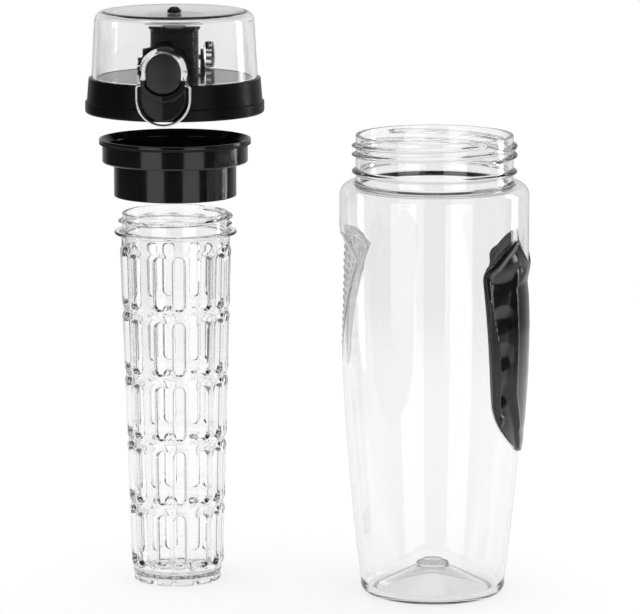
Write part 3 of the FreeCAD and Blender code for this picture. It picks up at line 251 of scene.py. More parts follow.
def lathe(rows, angles, closed=False, shape=None, at=(0, 0, 0)):
    """Vertices and faces of rows (radius, height) turned about an axis; a row of radius 0 is a pole."""
    verts, faces, rings = [], [], []
    for i, (radius, height) in enumerate(rows):
        start = len(verts)
        if radius < SAME:
            verts.append((at[0], at[1], at[2] + height))
            rings.append((start, 1))
            continue
        x, y, z = radius * np.cos(angles), radius * np.sin(angles), np.full(len(angles), float(height))
        if shape:
            x, y, z = shape(i, radius, height, x, y, z)
        verts += list(zip(x + at[0], y + at[1], z + at[2]))
        rings.append((start, len(angles)))
    for (a, size_a), (b, size_b) in zip(rings, rings[1:] + rings[:1] if closed else rings[1:]):
        for k in range(max(size_a, size_b)):
            n = (k + 1) % max(size_a, size_b)
            if size_a == 1:
                faces.append((a, b + n, b + k))
            elif size_b == 1:
                faces.append((a + k, a + n, b))
            else:
                faces.append((a + k, a + n, b + n, b + k))
    return verts, faces


def bridge(loops, closed=True):
    """Vertices and faces of rows of points that follow each other; the rows themselves may be closed."""
    count = len(loops[0])
    faces = []
    for start in range(0, (len(loops) - 1) * count, count):
        for k in range(count if closed else count - 1):
            n = (k + 1) % count
            faces.append((start + k, start + n, start + count + n, start + count + k))
    return [tuple(point) for loop in loops for point in loop], faces


def star(outline, core, steps, shares, face, back_steps, back_shares, back):
    """Loops over an outline (u, z) from its edge to a core line, on a face and a back that share the edge."""
    edge = np.array(outline, float)
    middle = np.column_stack([np.zeros(len(edge)), np.clip(edge[:, 1], *core)])
    size = np.linalg.norm(middle - edge, axis=1)
    loops = []
    for at, parts, surface, turned in ((back_steps, back_shares, back, True), (steps, shares, face, False)):
        places = [step / size for step in at]
        places += [places[-1] + (1 - places[-1]) * (i + 1) / parts for i in range(parts)]
        made = []
        for t in places:
            u, z = (edge + (middle - edge) * t[:, None]).T
            made.append(surface(u, z, depth_inside(u, z, outline)))
        loops += reversed(made) if turned else made
    return bridge(loops)


def slab(outline, low, high, bevel, place):
    """A plate of an outline between two depths, with rounded edges; place maps (u, depth, z) to a point."""
    shape = np.array(outline, float)
    after = np.roll(shape, -1, 0)
    area = np.sum(shape[:, 0] * after[:, 1] - shape[:, 1] * after[:, 0])
    unit = (after - shape) / np.linalg.norm(after - shape, axis=1)[:, None]
    along = unit + np.roll(unit, 1, 0)
    along /= np.linalg.norm(along, axis=1)[:, None]
    inward = np.column_stack([-along[:, 1], along[:, 0]]) * np.sign(area)
    part = 0.3
    loops = []
    for depth, inset in ((low, 1), (low + part * bevel, part), (low + bevel, 0),
                         (high - bevel, 0), (high - part * bevel, part), (high, 1)):
        u, z = (shape + inward * inset * bevel).T
        loops.append(place(u, np.full(len(u), float(depth)), z))
    verts, faces = bridge(loops)
    count = len(shape)
    return verts, faces + [tuple(range(count)), tuple(range(len(verts) - count, len(verts)))]


def rounding(depth, radius):
    """Drop of a rounded edge at a depth inside an outline."""
    t = 1 - np.clip(depth / radius, 0, 1)
    return radius * (1 - np.sqrt(1 - t * t))


def curve_over(*knots):
    """A soft curve through (height, value) knots, as a function of the height."""
    tenths, low, high, reach, blur = 10, 58, 176, 4, 1.2
    height = np.arange(low * tenths, high * tenths + 1) / tenths
    offset = np.arange(-reach * tenths, reach * tenths + 1) / tenths
    weight = np.exp(-(offset / blur) ** 2 / 2)
    value = np.pad(np.interp(height, *zip(*knots)), reach * tenths, mode="edge")
    value = np.convolve(value, weight / weight.sum(), mode="valid")
    return lambda z: np.interp(z, height, value)


def bead(offset, width):
    """Section of a soft bead: 1 in its middle."""
    return np.exp(-(offset / width) ** 2)


def ridge(offset, root, tip):
    """Section of a thread ridge: 1 on its crest and 0 beyond its root."""
    return np.clip((root - np.abs(offset)) / (root - tip), 0, 1)


def thread(angles, height, first_z, lead, turns, starts, root=1.0, tip=0.35, fade=0.04):
    """How far up their section the threads stand at a height, all around."""
    rise = np.zeros(len(angles))
    for start in starts:
        turn = (np.degrees(angles) - start) % 360 / 360
        for lap in range(math.ceil(turns)):
            here = turn + lap
            ends = smooth(here, 0, fade) * (1 - smooth(here, turns - fade, turns))
            rise = np.maximum(rise, ends * ridge(height - first_z - lead * here, root, tip))
    return rise


def closed_mesh(form, name, weld, thin, sharp):
    """Merge a form's doubles, turn its faces outwards and shade it smooth up to its sharp edges."""
    bmesh.ops.remove_doubles(form, verts=form.verts, dist=weld)
    bmesh.ops.dissolve_degenerate(form, edges=form.edges, dist=thin)
    bmesh.ops.recalc_face_normals(form, faces=form.faces)
    mesh = bpy.data.meshes.new(name)
    form.to_mesh(mesh)
    form.free()
    mesh.shade_smooth()
    if sharp < ALL_SMOOTH:
        mesh.set_sharp_from_angle(angle=math.radians(sharp))
    return mesh


def settle(name, mesh, look, body, node=None):
    """Put a finished mesh in the scene with its finish, body and the node that it stands for."""
    mesh.materials.clear()
    mesh.materials.append(finish(look))
    piece = bpy.data.objects.new(name, mesh)
    bpy.context.scene.collection.objects.link(piece)
    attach(piece, body)
    if node:
        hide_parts(node)


def make_piece(name, parts, look, body, node, sharp=ALL_SMOOTH):
    """One object of closed shells, in its place, riding on a body and standing for a node."""
    form = bmesh.new()
    for verts, faces in parts:
        made = [form.verts.new((x * MM, y * MM, z * MM)) for x, y, z in verts]
        for face in faces:
            corners = [made[i] for i in face]
            if len(set(corners)) == len(corners):
                form.faces.new(corners)
    settle(name, closed_mesh(form, name, MADE_WELD, MADE_THIN, sharp), look, body, node)


def copy_piece(node, name, look, body, slot):
    """A merged and smooth shaded copy of a frame node."""
    form = bmesh.new()
    form.from_mesh(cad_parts[node].data)
    settle(name, closed_mesh(form, name, COPY_WELD, COPY_THIN, COPY_SHARP), look, body, node)


# Finishes

NOISE_LOW, NOISE_HIGH = 0.3, 0.7
NODE_FAMILIES = ("GeometryNode", "FunctionNode", "NodeGroup")
FINISHES = {}


def feed(tree, node, inputs, sockets):
    """Set a node's inputs, by order and by name, or link them where the value is another node's output."""
    given = list(zip(node.inputs, inputs))
    given += [(node.inputs[key.replace("_", " ")], value) for key, value in sockets.items()]
    for socket, value in given:
        if isinstance(value, bpy.types.NodeSocket):
            tree.links.new(value, socket)
        else:
            socket.default_value = value
    return node


def add(tree, kind, *inputs, **sockets):
    """A node with its inputs fed; underscores in a socket's name stand for spaces."""
    if not kind.startswith(NODE_FAMILIES):
        kind = "ShaderNode" + kind
    return feed(tree, tree.nodes.new(kind), inputs, sockets)


def maths(tree, operation, *values):
    node = add(tree, "Math", *values)
    node.operation = operation
    return node.outputs["Value"]


def mix_colours(tree, factor, first, second):
    node = tree.nodes.new("ShaderNodeMix")
    node.data_type = "RGBA"
    return feed(tree, node, (), {"Factor": factor, "A": first, "B": second}).outputs["Result"]


def noise(tree, scale, detail, stretch=None):
    """Noise over Object coordinates, in cycles per metre, optionally stretched."""
    place = add(tree, "TexCoord").outputs["Object"]
    if stretch:
        place = add(tree, "Mapping", Vector=place, Scale=stretch).outputs["Vector"]
    return add(tree, "TexNoise", Vector=place, Scale=scale, Detail=detail).outputs["Fac"]


def spread(tree, source, low, high):
    """Map the usual values of a noise to a range."""
    node = add(tree, "MapRange", Value=source, From_Min=NOISE_LOW, From_Max=NOISE_HIGH, To_Min=low,
               To_Max=high)
    return node.outputs["Result"]


def around_value(tree, source, middle, by):
    """A value that a noise moves up and down a little."""
    return spread(tree, source, middle - by, middle + by)


def bump(tree, height, distance, strength=1.0):
    node = add(tree, "Bump", Strength=strength, Distance=distance * MM, Height=height)
    return node.outputs["Normal"]


def tone(tree, base, variation, source):
    """A colour that varies a little over the piece."""
    dark = (*[c * (1 - variation) for c in base], 1)
    pale = (*[min(1, c * (1 + variation)) for c in base], 1)
    return mix_colours(tree, spread(tree, source, 0, 1), dark, pale)


def node_tree(name):
    material = bpy.data.materials.new(name)
    material.use_nodes = True
    material.node_tree.nodes.clear()
    return material, material.node_tree


def show(material, surface, **volume):
    """Connect a material's surface, and its volume where it has one, to its output."""
    add(material.node_tree, "OutputMaterial", Surface=surface, **volume)
    return material


def moulded(name, base, rough, uneven, grain, grain_depth, wave=60, wave_depth=0.0, polish_above=None,
            shine=0.5):
    """Opaque moulded plastic: fine grain, faint waves, uneven gloss, and polish above a height if given."""
    material, tree = node_tree(name)
    slow = noise(tree, wave, 1.0)
    gloss = around_value(tree, noise(tree, 140, 4.0), rough, uneven)
    relief = maths(tree, "MULTIPLY_ADD", slow, wave_depth / grain_depth, noise(tree, grain, 3.0))
    if polish_above:
        polish = 0.07
        height = add(tree, "SeparateXYZ", add(tree, "TexCoord").outputs["Object"]).outputs["Z"]
        matt = maths(tree, "LESS_THAN", height, polish_above * MM)
        gloss = maths(tree, "MULTIPLY_ADD", maths(tree, "SUBTRACT", gloss, polish), matt, polish)
        relief = maths(tree, "MULTIPLY", relief, matt)
    shader = add(tree, "BsdfPrincipled", Base_Color=tone(tree, base, 0.12, slow), Roughness=gloss, IOR=1.5,
                 Specular_IOR_Level=shine, Normal=bump(tree, relief, grain_depth))
    return show(material, shader.outputs["BSDF"])


def clear_plastic(name, tint, depth, rough):
    """Clear moulded plastic that lets lamps through, with the faint waves of its mould."""
    material, tree = node_tree(name)
    shader = add(tree, "BsdfPrincipled", Base_Color=WHITE, Transmission_Weight=1.0, IOR=1.53, Roughness=rough,
                 Normal=bump(tree, noise(tree, 45, 1.5), 0.012))
    passing = add(tree, "BsdfTransparent", Color=(0.93, 0.93, 0.93, 1))
    surface = add(tree, "MixShader", add(tree, "LightPath").outputs["Is Shadow Ray"], shader.outputs["BSDF"],
                  passing.outputs["BSDF"])
    absorb = add(tree, "VolumeAbsorption", Color=(*tint, 1), Density=depth)
    return show(material, surface.outputs["Shader"], Volume=absorb.outputs["Volume"])


def milky_soft(name, base, clear, rough):
    """Milky silicone: partly clear, soft sheen, fine grain."""
    material, tree = node_tree(name)
    shader = add(tree, "BsdfPrincipled", Base_Color=tone(tree, base, 0.03, noise(tree, 120, 2.0)),
                 Roughness=around_value(tree, noise(tree, 300, 3.0), rough, 0.05), IOR=1.43,
                 Transmission_Weight=clear, Normal=bump(tree, noise(tree, 1200, 2.0), 0.015))
    return show(material, shader.outputs["BSDF"])


def bright_metal(name, base, rough):
    """Drawn steel wire with fine drawing marks."""
    material, tree = node_tree(name)
    marks = noise(tree, 700, 3.0, (1, 1, 0.2))
    shader = add(tree, "BsdfPrincipled", Base_Color=tone(tree, base, 0.06, marks), Metallic=1.0,
                 Roughness=spread(tree, marks, rough - 0.04, rough + 0.06),
                 Normal=bump(tree, marks, 0.01, 0.6))
    return show(material, shader.outputs["BSDF"])


def recipes():
    """How each finish is made: its maker, its colour and its values."""
    f = bpy.context.scene.infuser_finishes
    gloss = dict(uneven=0.03, grain=700, grain_depth=0.004, wave=40, wave_depth=0.002)
    pad = dict(uneven=0.05, grain=700, grain_depth=0.004, wave=110, wave_depth=0.05)
    cap = dict(rough=0.3, uneven=0.05, grain=1100, grain_depth=0.012)
    seal = dict(grain=1500, grain_depth=0.02)
    dark_steel = [c * 0.75 for c in f.steel]
    return {
        "gloss_black": (moulded, f.gloss_black, dict(gloss, rough=f.gloss)),
        "pad_black": (moulded, f.gloss_black, dict(pad, rough=f.pad_gloss)),
        "cap_black": (moulded, f.cap_black, dict(cap, polish_above=LID_Z + DECK - DECK_EDGE, shine=0.1)),
        "latch_black": (moulded, f.cap_black, dict(cap, shine=0.35)),
        "button_black": (moulded, f.button_black,
                         dict(rough=0.48, uneven=0.05, grain=1600, grain_depth=0.02)),
        "spout_black": (moulded, f.spout_black,
                        dict(rough=0.28, uneven=0.04, grain=1000, grain_depth=0.008, shine=0.1)),
        "dark_seal": (moulded, f.cap_black, dict(seal, rough=0.55, uneven=0.05, shine=0.3)),
        "seal_rubber": (moulded, f.seal_grey, dict(seal, rough=0.6, uneven=0.06)),
        "clear_bottle": (clear_plastic, f.clear_tint, dict(depth=f.clear_depth, rough=0.015)),
        "clear_rod": (clear_plastic, f.clear_tint, dict(depth=f.clear_depth, rough=0.02)),
        "clear_cover": (clear_plastic, f.clear_tint, dict(depth=f.clear_depth, rough=0.012)),
        "milky_pad": (milky_soft, f.milky, dict(clear=0.25, rough=0.4)),
        # Painted shade: a darker, less clear copy of the milky finish, for the thumb pad's bumps.
        "bump_grey": (milky_soft, f.bump_grey, dict(clear=0.1, rough=0.4)),
        "milky_plug": (milky_soft, f.milky, dict(clear=0.35, rough=0.35)),
        "bright_steel": (bright_metal, f.steel, dict(rough=0.1)),
        "spring_steel": (bright_metal, dark_steel, dict(rough=0.22)),
    }


def finish(name):
    """The finish of that name, made when it is first asked for."""
    if name not in FINISHES:
        maker, base, values = recipes()[name]
        FINISHES[name] = maker(name, base, **values)
    return FINISHES[name]


# Bottle

SIDE_LOW, SIDE_TOP = 5.0, 150.0
HEEL_RADIUS, BODY_RADIUS, SIDE_BULGE = 33.0, 43.0, 2.1
WALL = 2.0
STAND_IN, STAND_OUT = 27.0, 30.0
HEEL_MIDDLE, HEEL_INSIDE = (32.16, 1.4), (30.16, 2.84)
PUNT_EDGE, PUNT_LOW, PUNT_TOP = 25.5, 1.0, 11.5
NIB, NIB_RING = 4.9, 7.4
NIB_FOOT, NIB_STEP, NIB_TOP = 11.9, 13.5, 14.7
NECK, NECK_ROOT = 35.7, 1.0
SHOULDER_Z, SHOULDER_ROUND = 183.5, 6.0
SHOULDER_TOP = SHOULDER_Z + SHOULDER_ROUND
SHOULDER_AXIS = BODY_RADIUS - SHOULDER_ROUND
THREAD_Z, THREAD_LEAD, THREAD_RISE, THREAD_STARTS = 200.8, 8.0, 1.8, (-45.0, 135.0)
BEAD_Z, BEAD_RISE, BEAD_ROOT, BEAD_TIP = 194.3, 1.7, 1.1, 0.4
PAD_SINK, PAD_EDGE, PAD_RUN = 2.6, 0.3, 6.0
THUMB_TOP, THUMB_END, THUMB_DEPTH, THUMB_SKIN = 169.0, 105.0, 2.6, 0.8
GRIP_LOW, GRIP_HIGH = 62.0, 172.0


def side(z):
    """Radius of the bottle's side at a height."""
    t = np.clip((np.asarray(z, float) - SIDE_LOW) / (SIDE_TOP - SIDE_LOW), 0, 1)
    return HEEL_RADIUS + (BODY_RADIUS - HEEL_RADIUS) * t + 4 * SIDE_BULGE * t * (1 - t)


def scoop(z):
    """Radius of the thumb pad's face at a height."""
    low = float(side(THUMB_END))
    part = (np.asarray(z, float) - THUMB_END) / (THUMB_TOP - THUMB_END)
    return low + (BODY_RADIUS - THUMB_DEPTH - low) * part


def finger_outline(gap=0.9):
    """The finger pad seen from its side: two lobes, a corner, a straight edge and a rounded tip."""
    right = arc3((18, 166), (26.68, 161.9), (32, 156), 14)[:-1]
    right += arc3((32, 156), (34.25, 153.75), (35, 150), 8)[:-1]
    right += [(35, 150)] + arc3((29.3, 92), (23.75, 78.9), (10.8, 69.4), 16)
    return mirrored(right, 153, 66, gap)


def thumb_outline(gap=0.9):
    """The thumb scoop seen from its side: wide above and narrow below."""
    right = arc3((8.2, 167.5), (20.1, 163.83), (27.4, 156.7), 14) + [(9, 114.5)]
    return mirrored(right, THUMB_TOP, THUMB_END, gap)


def finger_sink(depth):
    """How far the bottle's side gives way under the finger pad."""
    return PAD_SINK * smooth(depth, PAD_EDGE, PAD_RUN)


def thumb_dip(z, depth):
    """How far the thumb pad's face lies below the bottle's side."""
    return 0.1 + (side(z) - scoop(z)) * smooth(depth, PAD_EDGE, 5.2)


def bottle_angles():
    """Columns around the bottle, closer together along the edges of the two pads."""
    stops = [(0, 36, 26), (36, 62, 30), (62, 134, 26), (134, 172, 36), (172, 180, 6)]
    half = [a + (b - a) * i / n for a, b, n in stops for i in range(n)]
    return np.radians(half + [180] + [360 - a for a in reversed(half[1:])])


def bottle_rows():
    """Section of the bottle from under its base over the rim to the inner floor, and how much is outside."""
    base = soften([(0, PUNT_TOP, 0), (NIB, PUNT_TOP, 1.0), (PUNT_EDGE, PUNT_LOW, 1.5), (STAND_IN, 0, 0.8),
                   (STAND_OUT, 0, 0)])
    outer = dense(base[:-1], 3) + arc3((STAND_OUT, 0), HEEL_MIDDLE, (HEEL_RADIUS, SIDE_LOW), 8)
    heights = list(np.arange(7, GRIP_LOW, 2.5)) + list(np.arange(GRIP_LOW, GRIP_HIGH, 1.1))
    heights += list(np.arange(GRIP_HIGH + 1, SHOULDER_Z, 2))
    outer += [(float(side(z)), float(z)) for z in heights]
    outer += swing((SHOULDER_AXIS, SHOULDER_Z), SHOULDER_ROUND, 0, 90, 8)[:-1]
    outer += soften([(SHOULDER_AXIS + 0.2, SHOULDER_TOP, 0), (NECK, SHOULDER_TOP, 0.9),
                     (NECK, SHOULDER_TOP + 3.5, 0)])[1:-1]
    outer += [(NECK, float(z)) for z in np.arange(SHOULDER_TOP + 1.7, RIM_Z - 1.2, 0.36)]
    bore, rim = NECK - WALL, RIM_Z - 1.1
    outer += soften([(NECK, rim, 0), (NECK, RIM_Z, 0.8), (bore, RIM_Z, 0.8), (bore, rim, 0)])
    root = SHOULDER_TOP - WALL
    inner = [(bore, 205), (bore, 197), (bore, 190)]
    inner += soften([(bore, 190, 0), (bore, root, NECK_ROOT), (SHOULDER_AXIS, root, 0)])[1:-1]
    inner += swing((SHOULDER_AXIS, SHOULDER_Z), SHOULDER_ROUND - WALL, 90, 0, 6)
    heights = list(np.arange(GRIP_HIGH, GRIP_LOW, -2.0)) + list(np.arange(60, 6, -4))
    inner += [(float(side(z)) - WALL, float(z)) for z in heights]
    floor = (STAND_OUT - WALL, WALL)
    inner += arc3((HEEL_RADIUS - WALL, SIDE_LOW), HEEL_INSIDE, floor, 6)
    inner += dense(soften([(*floor, 0), (PUNT_EDGE, PUNT_LOW + WALL, 2.0), (NIB_RING, NIB_FOOT, 0.5),
                           (NIB_RING, NIB_STEP, 0.4), (NIB, NIB_STEP, 0.4), (NIB, NIB_TOP, 0.4),
                           (0, NIB_TOP, 0)])[1:], 4)
    return outer + inner, len(outer)


class INFUSER_OT_bottle(bpy.types.Operator):
    """Build the clear bottle with its threads, bead and the two beds of the grips"""
    bl_idname = "infuser.bottle"
    bl_label = "Clear bottle"

    def execute(self, context):
        angles = bottle_angles()
        rows, outside = bottle_rows()
        finger, thumb = finger_outline(), thumb_outline()

        def shape(i, radius, height, x, y, z):
            inside = i >= outside
            if height > BEAD_Z - 1.5 and not inside and abs(radius - NECK) < SAME:
                threads = THREAD_RISE * thread(angles, height, THREAD_Z, THREAD_LEAD, 1, THREAD_STARTS)
                reach = NECK + np.maximum(threads, BEAD_RISE * ridge(height - BEAD_Z, BEAD_ROOT, BEAD_TIP))
                return reach * np.cos(angles), reach * np.sin(angles), z
            if not GRIP_LOW < height < GRIP_HIGH or radius < HEEL_RADIUS:
                return x, y, z
            right, left = depth_inside(y, z, finger), depth_inside(y, z, thumb)
            hollow = side(height) - scoop(height)
            if inside:
                under_finger = (PAD_SINK - 0.7) * smooth(right, 0.5, 9)
                under_thumb = (hollow + 0.5) * smooth(left, 0, 9)
            else:
                under_finger = finger_sink(right)
                under_thumb = 0.45 * smooth(left, 0, 0.8) + (hollow + 0.55) * smooth(left, PAD_EDGE, 5)
            sink = np.where(x > 0, under_finger, under_thumb)
            new_x = np.sign(x) * np.sqrt(np.maximum((radius - sink) ** 2 - y ** 2, 0))
            return np.where(sink > 0, new_x, x), y, z

        make_piece("clear_bottle", [lathe(rows, angles, shape=shape)], "clear_bottle", "bottle",
                   "bottle_body")
        return {"FINISHED"}


# Grips

FINGER_MIDDLE = curve_over((63, 0.8), (68, 1.3), (72, 1.6), (76, 1.35), (80, 1.65), (102, 1.7), (125, 1.2),
                           (138, 0.4), (144.6, -0.5), (150.5, 0.65), (156.4, 1.3), (163, 0.9), (169, 0.0))
FINGER_SPINE = curve_over((63, 8), (69, 10.5), (75, 12.8), (86, 16.7), (95, 20.4), (105, 21), (135, 21),
                          (146, 20), (153, 18), (162, 17))
FINGER_RIM = curve_over((60, 0), (80, 0), (84, 1.2), (88, 2.6), (100, 3.5), (116, 3.4), (124, 2.7),
                        (132, 1.6), (140, 0.7), (147, 0), (170, 0))
FINGER_DIMPLES = ((148, 26.5), (131, 26.3), (113.5, 25.8), (96.5, 24.6))
DIMPLE_HALF_WIDTH, DIMPLE_HALF_HEIGHT, DIMPLE_POWER = 7.2, 6.6, 1.8
CHANNEL_START, CHANNEL_FULL = 78, 92
SPINE_HALF, SPINE_BEAD, SPINE_BEAD_WIDTH, SPINE_BEAD_INSET = 1.4, 0.4, 1.0, 1.2
RIM_BEAD, RIM_BEAD_WIDTH = 0.4, 0.9
LOBE_START, LOBE_FULL, LOBE_SPOON, LOBE_FALL = 145, 154, 1.3, 0.45
KNOB_ACROSS, KNOB_Z, KNOB_RISE, KNOB_SPREAD = 25.0, 84.5, 0.6, 2.6
PAD_FLOOR, PAD_SKIN, PAD_BLEND = 0.1, 0.3, 0.08
BUMP_TOP, BUMP_BORDER, BUMP_COLUMN, BUMP_INNER = 163.5, 4.2, 5.8, 1.5


def on_side(sign, radius, y, z):
    """Points of the bottle's right (+1) or left (-1) side at a radius."""
    return np.column_stack([sign * np.sqrt(radius ** 2 - y ** 2), y, z])


class INFUSER_OT_finger_pad(bpy.types.Operator):
    """Build the sculpted finger pad: rim, channel with hollows, raised middle and two lobes"""
    bl_idname = "infuser.finger_pad"
    bl_label = "Finger pad"

    def execute(self, context):
        grips = context.scene.infuser_grips
        rim_rise, channel, dimple = grips.rim_rise / MM, grips.channel_depth / MM, grips.dimple_depth / MM

        def channel_floor(across, z):
            hollow = 0
            for high, at in FINGER_DIMPLES:
                away = ((across - at) / DIMPLE_HALF_WIDTH) ** 2 + ((z - high) / DIMPLE_HALF_HEIGHT) ** 2
                hollow += np.clip(1 - away, 0, 1) ** DIMPLE_POWER
            sunk = (channel + PAD_FLOOR) * smooth(z, CHANNEL_START, CHANNEL_FULL)
            return PAD_FLOOR - sunk - dimple * hollow

        def relief(across, z, depth):
            floor, middle, spine = channel_floor(across, z), FINGER_MIDDLE(z), FINGER_SPINE(z)
            low = floor + (middle - floor) * (1 - smooth(across, spine - SPINE_HALF, spine + SPINE_HALF))
            width = FINGER_RIM(z)
            shown = smooth(width, 0.1, 0.9)
            low += (rim_rise - low) * (1 - smooth(depth, width - 0.5, width + 0.6)) * shown
            low += RIM_BEAD * shown * bead(depth - width, RIM_BEAD_WIDTH)
            low += SPINE_BEAD * smooth(z, 76, 80) * bead(across - spine + SPINE_BEAD_INSET, SPINE_BEAD_WIDTH)
            spoon = LOBE_SPOON * smooth(depth, 0.8, 5) * smooth(across, 8, 16)
            lobe = middle * (1 - LOBE_FALL * smooth(across, 20, 34)) - spoon
            knob = np.exp(-((across - KNOB_ACROSS) ** 2 + (z - KNOB_Z) ** 2) / KNOB_SPREAD)
            return low + (lobe - low) * smooth(z, LOBE_START, LOBE_FULL) + KNOB_RISE * knob

        def face(y, z, depth):
            height = relief(np.abs(y), z, depth)
            least = PAD_SKIN - finger_sink(depth)
            height = (height + least + np.sqrt((height - least) ** 2 + PAD_BLEND)) / 2
            return on_side(1, side(z) + height - rounding(depth, 0.7) * smooth(height, 0.2, 0.9), y, z)

        def back(y, z, depth):
            gap = PAD_FLOOR + PAD_FLOOR * smooth(depth, PAD_EDGE, 2)
            return on_side(1, side(z) - gap - finger_sink(depth), y, z)

        steps = (0, 0.12, 0.28, 0.5, 0.8, 1.15, 1.5, 1.9, 2.4, 2.9, 3.4, 3.9, 4.4, 4.9, 5.5, 6.2)
        pad = star(finger_outline(0.7), (82, 134), steps, 34, face, (0, 0.6, 1.5, 3, 4.5, 6), 5, back)
        make_piece("finger_pad", [pad], "pad_black", "bottle", "finger_grip")
        return {"FINISHED"}


def bump_tree():
    """Geometry Nodes: one rounded bump on every point, turned the way that the point faces."""
    tree = bpy.data.node_groups.new("thumb_bumps", "GeometryNodeTree")
    sockets = (("Geometry", "INPUT", "Geometry"), ("Bump width", "INPUT", "Float"),
               ("Bump height", "INPUT", "Float"), ("Bump rise", "INPUT", "Float"),
               ("Finish", "INPUT", "Material"), ("Geometry", "OUTPUT", "Geometry"))
    for name, way, kind in sockets:
        tree.interface.new_socket(name, in_out=way, socket_type="NodeSocket" + kind)
    given = tree.nodes.new("NodeGroupInput").outputs
    ball = add(tree, "GeometryNodeMeshUVSphere", Segments=10, Rings=6, Radius=1)
    halves = [maths(tree, "MULTIPLY", given[name], 0.5) for name in ("Bump height", "Bump width")]
    size = add(tree, "CombineXYZ", *halves, given["Bump rise"])
    pillow = add(tree, "GeometryNodeTransform", Geometry=ball.outputs["Mesh"], Scale=size.outputs["Vector"])
    facing = add(tree, "GeometryNodeInputNamedAttribute", Name="facing")
    facing.data_type = "FLOAT_VECTOR"
    turn = add(tree, "FunctionNodeAlignRotationToVector", Vector=facing.outputs["Attribute"])
    turn.axis = "Z"
    bumps = add(tree, "GeometryNodeInstanceOnPoints", Points=given["Geometry"],
                Instance=pillow.outputs["Geometry"], Rotation=turn.outputs["Rotation"])
    real = add(tree, "GeometryNodeRealizeInstances", Geometry=bumps.outputs["Instances"])
    smoothed = add(tree, "GeometryNodeSetShadeSmooth", real.outputs["Geometry"])
    coat = add(tree, "GeometryNodeSetMaterial", Geometry=smoothed.outputs[0], Material=given["Finish"])
    add(tree, "NodeGroupOutput", coat.outputs["Geometry"])
    return tree


class INFUSER_OT_thumb_pad(bpy.types.Operator):
    """Build the milky thumb pad in its scoop and its rows of bumps"""
    bl_idname = "infuser.thumb_pad"
    bl_label = "Thumb pad"

    def execute(self, context):
        grips = context.scene.infuser_grips
        outline = thumb_outline()

        def face(y, z, depth):
            return on_side(-1, side(z) - thumb_dip(z, depth) - rounding(depth, 0.4), y, z)

        def back(y, z, depth):
            return on_side(-1, side(z) - thumb_dip(z, depth) - THUMB_SKIN, y, z)

        steps = (0, 0.12, 0.3, 0.6, 1, 1.5, 2.1, 2.8, 3.6, 4.5, 5.5)
        pad = star(outline, (118, 150), steps, 12, face, (0, 1, 2.5, 4, 5.5), 5, back)
        make_piece("thumb_pad", [pad], "milky_pad", "bottle", "thumb_grip")
        # The bumps get the darker grey finish, which is painted shade on milky plastic.
        settle("thumb_bumps", self.bumps(context, grips, outline), "bump_grey", "bottle")
        return {"FINISHED"}

    def bumps(self, context, grips, outline):
        """Mesh of the bumps, on points set out in rows inside the outline."""
        places = []
        tries = np.arange(0, 28, 0.1)
        for row in range(grips.bump_rows):
            z = BUMP_TOP - row * grips.bump_pitch / MM
            fits = tries[depth_inside(tries, np.full(len(tries), z), outline) > BUMP_BORDER]
            reach = fits.max() if len(fits) else 0
            while reach > BUMP_INNER:
                places += [(reach, z), (-reach, z)]
                reach -= BUMP_COLUMN
        y, z = np.array(places).T
        spots = on_side(-1, side(z) - thumb_dip(z, depth_inside(y, z, outline)), y, z)
        points = bpy.data.meshes.new("thumb_bumps")
        points.from_pydata([tuple(point * MM) for point in spots], [], [])
        facing = points.attributes.new("facing", "FLOAT_VECTOR", "POINT")
        facing.data.foreach_set("vector", (spots * (1, 1, 0)).ravel())
        holder = bpy.data.objects.new("thumb_bumps_points", points)
        context.scene.collection.objects.link(holder)
        modifier = holder.modifiers.new("Thumb bumps", "NODES")
        modifier.node_group = bump_tree()
        values = {"Bump width": grips.bump_width, "Bump height": grips.bump_height,
                  "Bump rise": grips.bump_rise, "Finish": finish("bump_grey")}
        for socket in modifier.node_group.interface.items_tree:
            if socket.in_out == "INPUT" and socket.name in values:
                modifier[socket.identifier] = values[socket.name]
        made = bpy.data.meshes.new_from_object(holder.evaluated_get(context.evaluated_depsgraph_get()))
        bpy.data.objects.remove(holder)
        made.name = "thumb_bumps"
        return made


# Rod

ROW_TOPS = (154.2, 124.0, 93.8, 63.6, 33.4)
SLOT_LENGTH, SLOT_HALF, SLOT_TURN, SLOT_DRAFT = 24.8, 2.6, 10.25, 0.35
SLOT_ROUND, SLOT_SIDE = 11, 7
BAND_RISE, BAND_FADE, ROW_GAP = 0.8, 2.5, 2.7
PAIRS = 7
TILE = 360 / (2 * PAIRS)
TILE_STEPS, TILE_CORNER, TILE_CUT = 6, 2, 4.4
ROD_FRONT, ROD_COLUMNS = -90.0, 84
FOOT_TOP, FLANGE_LOW, FLANGE_TOP, ROD_TOP = 6.0, 162.1, 163.5, 172.0
ROD_HEEL, ROD_SHOULDER, FLANGE = 20.6, 25.0, 28.1
ROD_NECK, ROD_BORE, ROD_CREST = 24.4, 22.8, 26.3
ROD_THREAD_Z, ROD_LEAD, ROD_TURNS = 165.9, 4, 1.2
FLOOR_TOP, FLOOR_LOW, FLOOR_EDGE, FLOOR_BORE = 4.6, 3.0, 17.5, 19.0
FOOT_OUT, FOOT_IN, FOOT_BEVEL = 20.1, 18.2, 0.25
HOLE, HOLE_BEVEL, HOLE_POINTS, HOLE_RINGS = 1.5, 0.25, 16, ((1, 0.0), (6, 7.7), (12, 13.7))
NOTCH_TURN, NOTCH_TOP, NOTCH_COUNT = 3.5, 1.8, 12
NOTCH_COLUMNS = (-3.9, -3.5, 3.5, 3.9, 9.3, 15.0, 20.7)


def round_stack(radius, angle, z):
    """Points around the stack's axis."""
    return np.column_stack([STACK[0] + radius * np.cos(angle), STACK[1] + radius * np.sin(angle), z])


